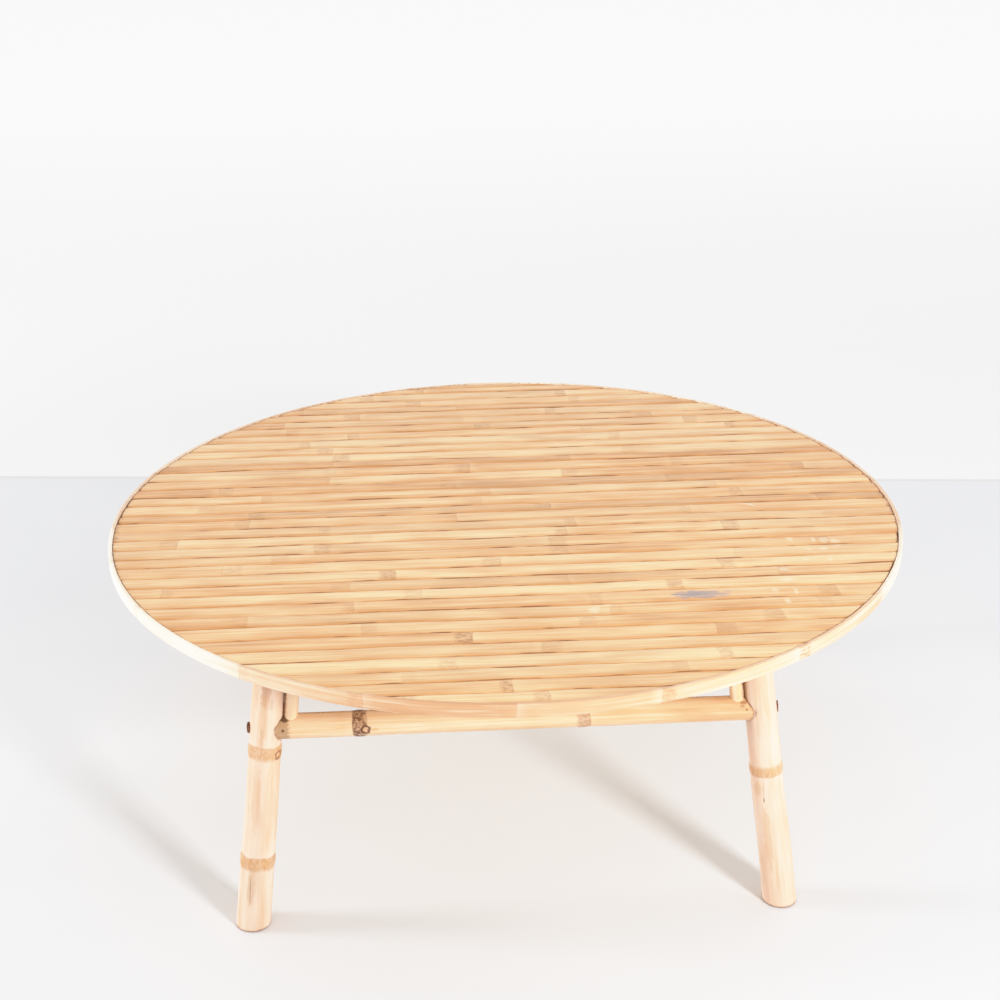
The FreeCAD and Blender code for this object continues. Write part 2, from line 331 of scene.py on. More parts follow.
@dataclass(frozen=True)
class Value:
    """A number, place or colour that varies over a surface: one output of a node in a graph.

    A formula of values, with +, -, * and abs(), adds the nodes that work it out.
    """

    graph: "Graph"
    socket: bpy.types.NodeSocket

    def work(self, operation: str, *others: "float | Value") -> "Value":
        """Work out one mathematical operation on this value and others."""
        return self.graph.add("Math", (self, *others), operation=operation)

    def __add__(self, other: "float | Value") -> "Value":
        """This value plus another."""
        return self.work("ADD", other)

    def __sub__(self, other: "float | Value") -> "Value":
        """This value minus another."""
        return self.work("SUBTRACT", other)

    def __rsub__(self, other: float) -> "Value":
        """A number minus this value."""
        return self.graph.add("Math", (other, self), operation="SUBTRACT")

    def __mul__(self, other: "float | Value") -> "Value":
        """This value times another."""
        return self.work("MULTIPLY", other)

    def __abs__(self) -> "Value":
        """This value without its sign."""
        return self.work("ABSOLUTE")

    def rise(self, low: "float | Value", high: "float | Value", top: float = 1.0) -> "Value":
        """The smooth step from 0 where this value is low to top where it is high."""
        return self.graph.add("MapRange", (self, low, high, 0.0, top), interpolation_type="SMOOTHSTEP")

    def parts(self) -> list["Value"]:
        """The three numbers of a place."""
        outputs = self.graph.add("SeparateXYZ", (self,)).socket.node.outputs
        return [Value(self.graph, socket) for socket in outputs]


class Graph:
    """The node tree of one material, or of the sky."""

    def __init__(self, owner: Material | bpy.types.World) -> None:
        """Start with an empty tree.

        Args:
            owner: The material, or the world that holds the sky.
        """
        owner.use_nodes = True
        self.owner, self.tree = owner, owner.node_tree
        self.tree.nodes.clear()

    def add(self, kind: str, inputs: tuple | dict = (), take: int | str = 0, **settings: object) -> Value | None:
        """Add one node with its settings and links.

        Args:
            kind: Blender's name of the node's type, after "ShaderNode".
            inputs: What goes into its sockets, in their order or by their names or numbers: a value to link
                from, a hex colour, or plain numbers.
            take: Number or name of the output to return.
            settings: Properties of the node.

        Returns:
            The output, or nothing for a node without outputs.
        """
        node = self.tree.nodes.new(f"ShaderNode{kind}")
        for name, value in settings.items():
            setattr(node, name, value)
        for name, value in (inputs if isinstance(inputs, dict) else dict(enumerate(inputs))).items():
            if isinstance(value, Value):
                self.tree.links.new(value.socket, node.inputs[name])
            else:
                node.inputs[name].default_value = linear(value) if isinstance(value, str) else value
        return Value(self, node.outputs[take]) if node.outputs else None

    def fibres(self, place: Value, length: float, width: float, contrast: float = 1.0,
               detail: float = 2.0) -> Value:
        """Soft streaks that run along the first axis of a place: noise that is stretched by length / width.

        Args:
            place: Place in metres, with the fibres along its first axis.
            length: Length of a streak, in metres.
            width: Width of a streak, in metres.
            contrast: 1 spreads the usual noise over 0 to 1, and more makes it harder.
            detail: Octaves of finer noise.

        Returns:
            A value from 0 to 1.
        """
        stretched = self.add("VectorMath", (place, (1 / length, 1 / width, 1 / width)), operation="MULTIPLY")
        noise = self.add("TexNoise", {"Vector": stretched, "Scale": 1.0, "Detail": detail})
        half = USUAL_NOISE / contrast
        return self.add("MapRange", (noise, 0.5 - half, 0.5 + half))

    def paint(self, colour: str | Value, *coats: tuple[Value, str | Value]) -> Value:
        """Lay coats of colour over a first colour.

        Args:
            colour: First colour.
            coats: For each coat the share that it covers, and its colour.

        Returns:
            The colour.
        """
        for share, coat in coats:
            colour = self.add("Mix", {0: share, 6: colour, 7: coat}, take=2, data_type="RGBA")
        return colour

    def surface(self, inputs: dict[str, float | str | Value], relief: Value | None = None,
                bump: tuple[float, float] = (0.0, 0.0)) -> Material:
        """End the graph of a material in a Principled surface.

        Args:
            inputs: What goes into the surface's sockets.
            relief: Height of its bump, where it has one.
            bump: The bump's strength, and its depth in metres.

        Returns:
            The finished material.
        """
        if relief is not None:
            strength, depth = bump
            normal = self.add("Bump", {"Strength": strength, "Distance": depth, "Height": relief})
            inputs = {**inputs, "Normal": normal}
        self.add("OutputMaterial", (self.add("BsdfPrincipled", inputs),))
        return self.owner


@dataclass(frozen=True)
class StainOrShade:
    """One mark of use or growth, or a patch of painted shade, in mm: an oval with ragged edges, turned about the
    third axis.
    """

    middle: tuple[float, float, float]
    reach: tuple[float, float, float]
    colour: str
    share: float
    turn: float = 0.0

    def draw(self, place: Value, ragged: Value, colour: Value) -> Value:
        """Lay the stain over a colour: full inside 0.6 of its reach, and gone outside 1.1 of it.

        Args:
            place: Place on the piece.
            ragged: Noise that moves the edge in and out, as a share of the reach.
            colour: Colour so far.

        Returns:
            The colour.
        """
        middle, reach = (tuple(length * MM for length in lengths) for lengths in (self.middle, self.reach))
        moved = place.graph.add("Mapping", (place, middle, (0.0, 0.0, self.turn), reach), vector_type="TEXTURE")
        far = place.graph.add("VectorMath", (moved,), take="Value", operation="LENGTH")
        return place.graph.paint(colour, ((far + ragged).rise(1.1, 0.6, self.share), self.colour))


@dataclass(frozen=True)
class Patterns:
    """What the bamboo materials read: the attributes of Skin.mark, and the patterns laid along the fibre."""

    marks: dict[str, Value]
    fibre: Value
    streak: Value
    cloud: Value
    fleck: Value

    @property
    def graph(self) -> Graph:
        """The material's graph."""
        return self.fibre.graph

    @property
    def place(self) -> Value:
        """The place in the fibre."""
        return self.marks["fibre_place"]


@dataclass(frozen=True)
class BambooFinish:
    """Bamboo skin, scraped, sanded and oiled.

    To the eye it is straight silky fibre with a satin sheen. Cream and honey stretches change at each node,
    where a thin dark ring and a duller, cross-grained mark stand. Patterns have their length along the fibre
    and their width across it.
    """

    name: str
    cream: str
    honey: str
    brown: str
    grey: str
    mark: str
    ring: str
    cut_end: str
    gold: str = "#EDB46C"
    # colour of dirt in the joints, and of the painted shade
    dirt_and_shade: str = "#6B4423"
    roughness: float = 0.42
    fibre: tuple[float, float] = (110 * MM, 1.1 * MM)  # coarser than real fibre (0.2 mm), so that it shows
    thread: float = 0.3  # how strongly single fibres darken
    streak: tuple[float, float] = (210 * MM, 4.5 * MM)
    cloud: tuple[float, float] = (85 * MM, 24 * MM)
    fleck: tuple[float, float] = (6 * MM, 2.4 * MM)
    mottle: tuple[float, float] = (0.36, 0.34)  # how far streaks and clouds change the shade
    tinge: tuple[float, float] = (75 * MM, 2.6 * MM)
    tinge_share: float = 0.4
    turnover: float = 2 * MM  # how far from a ring the shade of the next stretch is reached
    waver: tuple[float, float] = (4 * MM, 22 * MM)  # how far a ring wanders, and over what width
    onset: float = 1.6 * MM  # how far from a ring the mark reaches its full colour
    fade: tuple[float, float] = (-4 * MM, 2.5 * MM)  # where a mark fades, from its end
    pale_strip: tuple[float, float] = (-15 * MM, -3 * MM)  # where the paler skin before a ring starts
    pale_share: float = 0.2
    mark_share: float = 0.75
    patch: tuple[float, float] = (14 * MM, 7 * MM)
    patchiness: float = 0.6
    ring_width: float = 1.0 * MM
    ring_share: float = 0.3
    ring_cut: float = 1.6  # how deep rings and root pits cut, where the fibre's relief is 1
    pit_cut: float = 1.2
    knot_edge: tuple[float, float] = (7.2 * MM, 5.4 * MM)  # where a knot starts and is full, from its middle
    knot_growth: float = 6.2 * MM  # from one growth ring of a knot to the next
    knot_bend: float = 3.4 * MM  # how far a knot's growth rings wander
    # share of painted shade on the sloping long edges of a slat
    edge_shade_share: float = 0.0
    stains_and_shades: tuple[StainOrShade, ...] = ()

    def material(self) -> Material:
        """Build the material from the attributes that Skin.mark writes.

        Returns:
            The material.
        """
        graph = Graph(bpy.data.materials.new(self.name))
        marks = {name: graph.add("Attribute", take="Vector" if name in VECTOR_MARKS else "Fac", attribute_name=name)
                 for name in VECTOR_MARKS + NUMBER_MARKS}
        place = marks["fibre_place"]
        on = Patterns(marks, fibre=graph.fibres(place, *self.fibre, contrast=1.3, detail=3.0),
                     streak=graph.fibres(place, *self.streak), cloud=graph.fibres(place, *self.cloud, contrast=1.2),
                     fleck=graph.fibres(place, *self.fleck, contrast=1.4))
        colour, cuts = self.node_colour(on, self.skin_colour(on))
        colour = self.knot_colour(on, colour)
        if self.edge_shade_share:
            colour = self.slat_edge_shade_and_dirt(on, colour)
        colour = self.wear_and_shade(on, self.soil_and_shade_colour(on, colour))
        return graph.surface({"Base Color": colour, "Roughness": on.streak * 0.1 + (self.roughness - 0.05),
                              "IOR": 1.5}, on.fibre - cuts, (0.35, 0.25 * MM))

    def skin_colour(self, on: Patterns) -> Value:
        """Colour the stretches between the nodes: the stretch's shade, plus soft streaks, clouds and fibre.

        Args:
            on: What the material reads.

        Returns:
            The colour.
        """
        before, after, tint = on.marks["stretch_shade"].parts()
        past = on.marks["node_reach"].rise(-self.turnover, self.turnover)
        shade = on.graph.add("Mix", {0: past, 2: before, 3: after})
        for pattern, change in zip((on.streak, on.cloud), self.mottle):
            shade = shade + (pattern * change - change / 2)
        tinge = on.graph.fibres(on.place, *self.tinge, contrast=1.2, detail=3.0)
        return on.graph.paint(
            self.cream, (shade * 2.0, self.honey), (on.graph.add("MapRange", (shade, 0.5, 1.0)), self.brown),
            (tint * (on.cloud * 0.5 + 0.1), self.grey), (tinge.rise(0.55, 0.95, self.tinge_share), self.gold),
            (tinge.rise(0.45, 0.05, self.tinge_share), self.cream),
            (on.fibre.rise(0.45, 1.0, self.thread), self.brown))

    def node_colour(self, on: Patterns, colour: Value) -> tuple[Value, Value]:
        """Draw the pale strip before a node, its mottled mark with root pits, and its two rings.

        Args:
            on: What the material reads.
            colour: Colour so far.

        Returns:
            The colour, and how deep the rings and pits cut.
        """
        length, depth, pits = on.marks["node_look"].parts()
        size, width = self.waver
        reach = on.marks["node_reach"] + (on.graph.fibres(on.place, 26 * MM, width) * size - size / 2)
        beyond = reach - length
        inside = reach.rise(-self.onset, self.onset) * (1.0 - beyond.rise(*self.fade)) * depth
        pale = reach.rise(*self.pale_strip, self.pale_share) * (1.0 - reach.rise(-1.5 * MM, 0.5 * MM)) * depth
        patchy = on.graph.fibres(on.place, *self.patch, contrast=1.5) * self.patchiness + (1 - self.patchiness)
        mottled = inside * (on.fleck * 0.45 + 0.5) * (patchy * self.mark_share)
        rooty = inside * (pits * on.fleck.rise(0.3, 0.85, 0.8))
        first = abs(reach).rise(self.ring_width, 0.3 * self.ring_width)
        second = abs(beyond).rise(0.9 * self.ring_width, 0.2 * self.ring_width, 0.4)
        rings = first.work("MAXIMUM", second) * depth
        broken = rings * patchy.rise(0.3, 0.9, self.ring_share)
        colour = on.graph.paint(colour, (pale, self.cream), (mottled, self.mark), (rooty, self.ring),
                                (broken, self.ring))
        return colour, rings * self.ring_cut + rooty * self.pit_cut

    def knot_colour(self, on: Patterns, colour: Value) -> Value:
        """Draw a branch knot: dark and pale growth rings, by the sine of the bent distance from its middle.

        Args:
            on: What the material reads.
            colour: Colour so far.

        Returns:
            The colour.
        """
        gap = on.graph.add("VectorMath", (on.place, on.marks["knot_place"]), take="Value", operation="DISTANCE")
        gap = gap + (on.graph.fibres(on.place, 7 * MM, 5 * MM) * self.knot_bend - self.knot_bend / 2)
        turns = (gap * (FULL_TURN / self.knot_growth)).work("SINE")
        woody = on.graph.paint(self.ring, (turns.rise(-0.5, 0.9), self.honey),
                               (on.fleck.rise(0.35, 0.8, 0.6), self.mark))
        return on.graph.paint(colour, (gap.rise(*self.knot_edge, 0.88), woody))

    def slat_edge_shade_and_dirt(self, on: Patterns, colour: Value) -> Value:
        """Darken the long edges of a split slat: a broad painted shade on their sloping sides, the front one most,
        and a thin line of oil and dust in the joints.

        Args:
            on: What the material reads.
            colour: Colour so far.

        Returns:
            The colour.
        """
        across = on.marks["across"]
        front = (across * -1.0).work("MAXIMUM", across * 0.8)
        # painted shade on the slat's sloping edges, strongest at the front edge
        edge = front.rise(0.4, 0.97, self.edge_shade_share) * (on.cloud * 0.7 + 0.35)
        dirt_and_shade = on.graph.fibres(on.place, 60 * MM, 60 * MM, contrast=1.5, detail=3.0)
        outer = abs(across).rise(dirt_and_shade * -0.09 + 0.96, 1.0) * (dirt_and_shade * 0.4 + 0.6)
        stale = on.graph.paint(self.gold, (dirt_and_shade.rise(0.5, 0.9), self.dirt_and_shade))
        return on.graph.paint(colour, (edge, self.brown), (outer, stale))

    def soil_and_shade_colour(self, on: Patterns, colour: Value) -> Value:
        """Tint the cut ends, and darken where dirt and glue gather and where shade is painted (a bar's upper side,
        where a bar meets a leg, round a leg's socket, a post's sides), broken up by flecks.

        Args:
            on: What the material reads.
            colour: Colour so far.

        Returns:
            The colour.
        """
        cut = on.marks["cut_share"] * (on.streak * 0.5 + 0.5)
        soil_and_shade = on.marks["soil_and_shade_share"] + (on.fleck * 0.5 - 0.3)
        return on.graph.paint(colour, (cut, self.cut_end), (soil_and_shade.rise(0.2, 0.85, 0.92), self.dirt_and_shade))

    def wear_and_shade(self, on: Patterns, colour: Value) -> Value:
        """Draw the stains and the patches of painted shade at their places in the fibre.

        Args:
            on: What the material reads.
            colour: Colour so far.

        Returns:
            The colour.
        """
        ragged = on.graph.fibres(on.place, 9 * MM, 2.5 * MM) * 0.7 - 0.35
        for spot in self.stains_and_shades:
            colour = spot.draw(on.place, ragged, colour)
        return colour


@dataclass(frozen=True)
class TabletopFinish(BambooFinish):
    """The slats' finish: split bamboo with the marks of use, which lie across the slats on Object coordinates.

    rubbed_places are (x, y, reach along x, reach along y), in mm.
    """

    rubbed: str = "#FFE6CC"
    rubbed_share: float = 0.42
    rubbed_places: tuple[tuple[float, float, float, float], ...] = ()

    def wear_and_shade(self, on: Patterns, colour: Value) -> Value:
        """Draw the stains, and on the slats' crowns the pale rubbed places.

        Args:
            on: What the material reads.
            colour: Colour so far.

        Returns:
            The colour.
        """
        place = on.graph.add("TexCoord", take="Object")
        ragged = on.graph.fibres(place, 14 * MM, 3.5 * MM, detail=4.0) * 1.1 - 0.5
        for spot in self.stains_and_shades:
            colour = spot.draw(place, ragged, colour)
        bare = colour
        for x, y, wide, deep in self.rubbed_places:
            rub = StainOrShade((x, y, 0.0), (wide, deep, ANY_MM), self.rubbed, self.rubbed_share)
            bare = rub.draw(place, ragged, bare)
        return on.graph.paint(colour, (abs(on.marks["across"]).rise(0.9, 0.55), bare))


@dataclass(frozen=True)
class BoardFinish:
    """Sawn and planed wood of the hidden parts: plywood veneer or a pine batten, matt, with straight grain."""

    name: str
    pale: str
    dark: str
    grain: Grain
    ring_pitch: float
    roughness: float = 0.6

    def material(self) -> Material:
        """Build the material: grain lines along the board with fine pores, on Object coordinates.

        Returns:
            The material.
        """
        graph = Graph(bpy.data.materials.new(self.name))
        place = graph.add("TexCoord", take="Object")
        if self.grain is Grain.ALONG_Y:
            place = graph.add("Mapping", {0: place, 2: (0.0, 0.0, math.radians(-90))})
        lines = graph.fibres(place, 300 * MM, self.ring_pitch, contrast=1.3)
        pores = graph.fibres(place, 25 * MM, 0.8 * MM, contrast=1.4)
        colour = graph.paint(self.pale, (lines, self.dark), (pores.rise(0.6, 1.0, 0.35), self.dark))
        return graph.surface({"Base Color": colour, "Roughness": self.roughness}, pores, (0.3, 0.2 * MM))


@dataclass(frozen=True)
class PegFinish:
    """Torn, darkened hardwood fibre of the pivot pins' ends: rough brown bristle without sheen."""

    name: str = "oak_peg_riven"
    light: str = "#C29A74"
    dark: str = "#5E3A28"

    def material(self) -> Material:
        """Build the material: short dark fibres along X on Object coordinates.

        Returns:
            The material.
        """
        graph = Graph(bpy.data.materials.new(self.name))
        torn = graph.fibres(graph.add("TexCoord", take="Object"), 5 * MM, 1.6 * MM, contrast=1.8)
        colour = graph.paint(self.dark, (torn, self.light))
        return graph.surface({"Base Color": colour, "Roughness": 0.8}, torn, (0.8, 0.6 * MM))


@dataclass(frozen=True)
class ScrewFinish:
    """Zinc-plated steel, turned: a dull grey metal whose blotched plating blurs its reflections unevenly."""

    name: str = "zinc_plated_steel_turned"
    bright: str = "#B9B7B0"
    dull: str = "#8C8A84"

    def material(self) -> Material:
        """Build the material: soft stains of 3 mm on a metal.

        Returns:
            The material.
        """
        graph = Graph(bpy.data.materials.new(self.name))
        blotch = graph.fibres(graph.add("TexCoord", take="Object"), 3 * MM, 3 * MM)
        colour = graph.paint(self.dull, (blotch, self.bright))
        return graph.surface({"Base Color": colour, "Roughness": blotch * 0.15 + 0.3, "Metallic": 1.0})


# The top

@dataclass(frozen=True)
class Slat:
    """One slat as it was chosen: its shade, and where its nodes are as shares of the top's radius."""

    shade: Shade
    nodes: tuple[float, ...] = ()


SLATS = tuple(Slat(shade, nodes) for shade, nodes in (  # front to back
    (Shade.STRAW, (-0.25, 0.02)), (Shade.HONEY, (-0.05,)), (Shade.HONEY, (-0.25, 0.32)),
    (Shade.CREAM, (-0.17, 0.43)), (Shade.STRAW, (0.06,)), (Shade.AMBER, (-0.13, 0.45)),
    (Shade.HONEY, (-0.34, 0.15, 0.57)), (Shade.HONEY, (-0.63, 0.22, 0.70)), (Shade.HONEY, (-0.39, 0.18, 0.72)),
    (Shade.CREAM, (-0.24, 0.37)), (Shade.AMBER, (-0.81, -0.41, 0.11, 0.64)), (Shade.STRAW, (-0.30, 0.51)),
    (Shade.STRAW, (-0.67, -0.05, 0.56)), (Shade.HONEY, (-0.56, 0.12, 0.77)), (Shade.STRAW, (-0.46, 0.12)),
    (Shade.STRAW, (-0.84, -0.36, 0.13, 0.56)), (Shade.HONEY, (-0.46, 0.16, 0.82)),
    (Shade.HONEY, (-0.67, -0.14, 0.46)), (Shade.BROWN, (-0.64, 0.10, 0.84)), (Shade.HONEY, (-0.77, -0.08, 0.61)),
    (Shade.STRAW, (-0.62, -0.05, 0.55)), (Shade.BROWN, (-0.73, -0.14, 0.47)), (Shade.HONEY, (-0.48, 0.19, 0.81)),
    (Shade.HONEY, (-0.46, -0.10, 0.49)), (Shade.BROWN, (-0.47, 0.18, 0.74)), (Shade.CREAM, (-0.43, 0.37)),
    (Shade.STRAW, (-0.48, 0.30)), (Shade.CREAM, (-0.54, 0.34)), (Shade.HONEY, (-0.40, 0.27, 0.69)),
    (Shade.HONEY, (-0.58, -0.03, 0.58)), (Shade.AMBER, (-0.63, -0.10, 0.45)), (Shade.STRAW, (-0.41, 0.18)),
    (Shade.AMBER, (-0.57, -0.08, 0.56)), (Shade.STRAW, (-0.23, 0.26)), (Shade.CREAM, (-0.37, 0.22)),
    (Shade.AMBER, (-0.21,)), (Shade.AMBER, (0.08,)),
))


@dataclass
class SlatTop:
    """The split slats, side by side along X, crowned, and cut to the circle inside the rim band."""

    radius: float = 500 * MM
    cut_radius: float = 494.2 * MM
    crest: float = 389.2 * MM
    crest_spread: float = 0.25 * MM
    crest_range: tuple[float, float] = (-1, 0.4)  # how far one slat's crest may lie, in spreads
    floor: float = 382.2 * MM
    crown: float = 0.6 * MM
    edge_drop: float = 0.9 * MM
    least_depth: float = 0.02 * MM
    node_swell: float = 0.32 * MM
    swell_reach: float = 6 * MM
    ring_groove: float = 0.22 * MM
    groove_reach: float = 1.1 * MM
    wander: float = 0.12 * MM
    wander_waves: tuple[float, ...] = (0.61, 0.23, 0.11)
    joint: float = 0.85 * MM
    joint_half: tuple[float, float] = (0.12 * MM, 1.2 * MM)  # least and most half width of a joint
    joint_spread: float = 0.6 * MM
    joint_waves: tuple[float, ...] = (0.41, 0.19, 0.083, 0.037)
    joint_waver: float = 2.6 * MM
    waver_waves: tuple[float, ...] = (1.9, 1.1, 0.62, 0.34, 0.15)
    soiled_rim: float = 3.5 * MM
    rim_soil: tuple[float, float] = (0.25, 0.35)  # at the front, and how much more from the middle back
    end_gap: float = 1.9 * MM  # the most that a slat is cut short at one end
    fibre_spread: float = 5.0  # how far apart the slats lie in the fibre patterns
    column_step: float = 9 * MM
    arc_points: int = 15
    cut_clusters: int = 9
    cut_margin: float = 0.015  # share of a slat's depth between its near edge and the outermost column
    clear_of_node: float = 15 * MM
    node_cluster: tuple[float, ...] = (-14, -10, -7, -5, -3, -1.8, -0.9, 0, 0.9, 1.8, 3, 5, 7, 10, 14)  # mm

    def joint_line(self, index: int, x: np.ndarray) -> tuple[np.ndarray, np.ndarray]:
        """Where the joint in front of a slat runs: a straight line with a slow waver, opening and closing.

        Args:
            index: Number of the slat behind the joint, from 0.
            x: Places along the joint.

        Returns:
            The joint's middle and its half width, at each place.
        """
        boxes = [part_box(f"slat_{number:02d}") for number in (index, index + 1) if 1 <= number <= len(SLATS)]
        if len(boxes) < 2:
            outer = boxes[0][0].y if index == 0 else boxes[0][1].y
            return np.full_like(x, outer), np.zeros_like(x)
        middle = (boxes[0][1].y + boxes[1][0].y) / 2
        waver = ripple(x, 300 + index, self.waver_waves, self.joint_waver)
        opening = ripple(x, 400 + index, self.joint_waves, self.joint_spread)
        return middle + waver, np.clip(self.joint / 2 + opening, *self.joint_half)

    def columns(self, front: float, back: float, nodes: np.ndarray) -> np.ndarray:
        """Places along a slat where its section is worked out: close at the nodes and at the round cut.

        Args:
            front: Lowest Y of the slat.
            back: Highest Y of the slat.
            nodes: Places of its nodes.

        Returns:
            Rising places along X.
        """
        near_y, far_y = sorted((abs(front), abs(back)))
        near_y = 0.0 if front < 0 < back else near_y
        steps = 1 - np.linspace(0, 1, self.cut_clusters) ** 2
        trimmed = near_y + (far_y - near_y) * (self.cut_margin + (1 - self.cut_margin) * steps)
        ends = np.sqrt(np.maximum(self.cut_radius ** 2 - np.minimum(trimmed, self.cut_radius) ** 2, 0))
        inner = ends[0]
        even = np.linspace(-inner, inner, max(int(2 * inner / self.column_step), 4))
        close = (nodes[:, None] + np.array(self.node_cluster) * MM).ravel()
        close = close[np.abs(close) < inner]
        apart = np.abs(even[:, None] - nodes[None, :]).min(axis=1) > self.clear_of_node
        apart[[0, -1]] = True
        return np.unique(np.round(np.concatenate([-ends, even[apart], close, ends]), 6))

    def slat(self, index: int, material: Material) -> None:
        """Build one slat: at each column its front and back edge, and over them the crown.

        The crown falls with the square of the distance from the slat's middle line, the edges are eased by
        its twelfth power, and each node lifts it by a bell curve and cuts a fine groove.

        Args:
            index: Number of the slat, from 0.
            material: The slats' material.
        """
        choice, node = SLATS[index], f"slat_{index + 1:02d}"
        low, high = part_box(node)
        nodes = np.array(choice.nodes) * self.radius
        run = Run.grown(tuple(nodes), choice.shade.value, 500 + index, spread=0.07)
        x = self.columns(low.y, high.y, run.places)
        front_line, front_gap = self.joint_line(index, x)
        back_line, back_gap = self.joint_line(index + 1, x)
        front, back = front_line + front_gap, back_line - back_gap
        round_cut = np.sqrt(np.maximum(self.cut_radius ** 2 - x ** 2, 0))
        middle, half = (front + back) / 2, (back - front) / 2
        start, stop = np.maximum(front, -round_cut), np.minimum(back, round_cut)
        stop = np.maximum(stop, start + self.least_depth)

        share = 0.5 + 0.5 * np.cos(np.linspace(0, math.pi, self.arc_points))
        y = start[:, None] + (stop - start)[:, None] * share[None, :]
        offset = np.clip((y - middle[:, None]) / half[:, None], -1, 1)
        reach = x[:, None] - run.places[None, :]
        lift = near(reach, self.swell_reach) * self.node_swell - near(reach, self.groove_reach) * self.ring_groove
        lift = (lift * run.depths).sum(axis=1) + ripple(x, 700 + index, self.wander_waves, self.wander)
        level = self.crest + np.random.default_rng(800 + index).uniform(*self.crest_range) * self.crest_spread
        z = level + lift[:, None] - (self.crown * offset ** 2 + self.edge_drop * offset ** 12)
        top = np.stack([np.broadcast_to(x[:, None], y.shape), y, z], axis=-1)
        under = np.stack([top[:, -1], top[:, 0]], axis=1)
        under[..., 2] = self.floor
        points = np.concatenate([top, under], axis=1)

        fibre = points + np.array([0, *np.random.default_rng(900 + index).uniform(0, self.fibre_spread, 2)])
        across = np.concatenate([offset, np.ones((len(x), 2))], axis=1)
        rim = np.hypot(points[..., 0], points[..., 1])
        least, more = self.rim_soil
        soil_and_shade = smooth_step(rim, self.cut_radius - self.soiled_rim, self.cut_radius)
        soil_and_shade = soil_and_shade * (least + more * smooth_step(points[..., 1], -0.4, 0.0))
        left, right = 1 - self.end_gap / self.cut_radius * np.random.default_rng(950 + index).uniform(0, 1, 2) ** 3
        points[..., 0] *= np.where(points[..., 0] < 0, left, right)
        skin = Skin(points=points, fibre=fibre, run=run, across=across, soil_and_shade=soil_and_shade)
        skin.build(f"bamboo_{node}", material, TABLE_BODY, "slat_bamboo", node)

    def build(self, material: Material) -> None:
        """Build all the slats, front to back."""
        for index in range(len(SLATS)):
            self.slat(index, material)


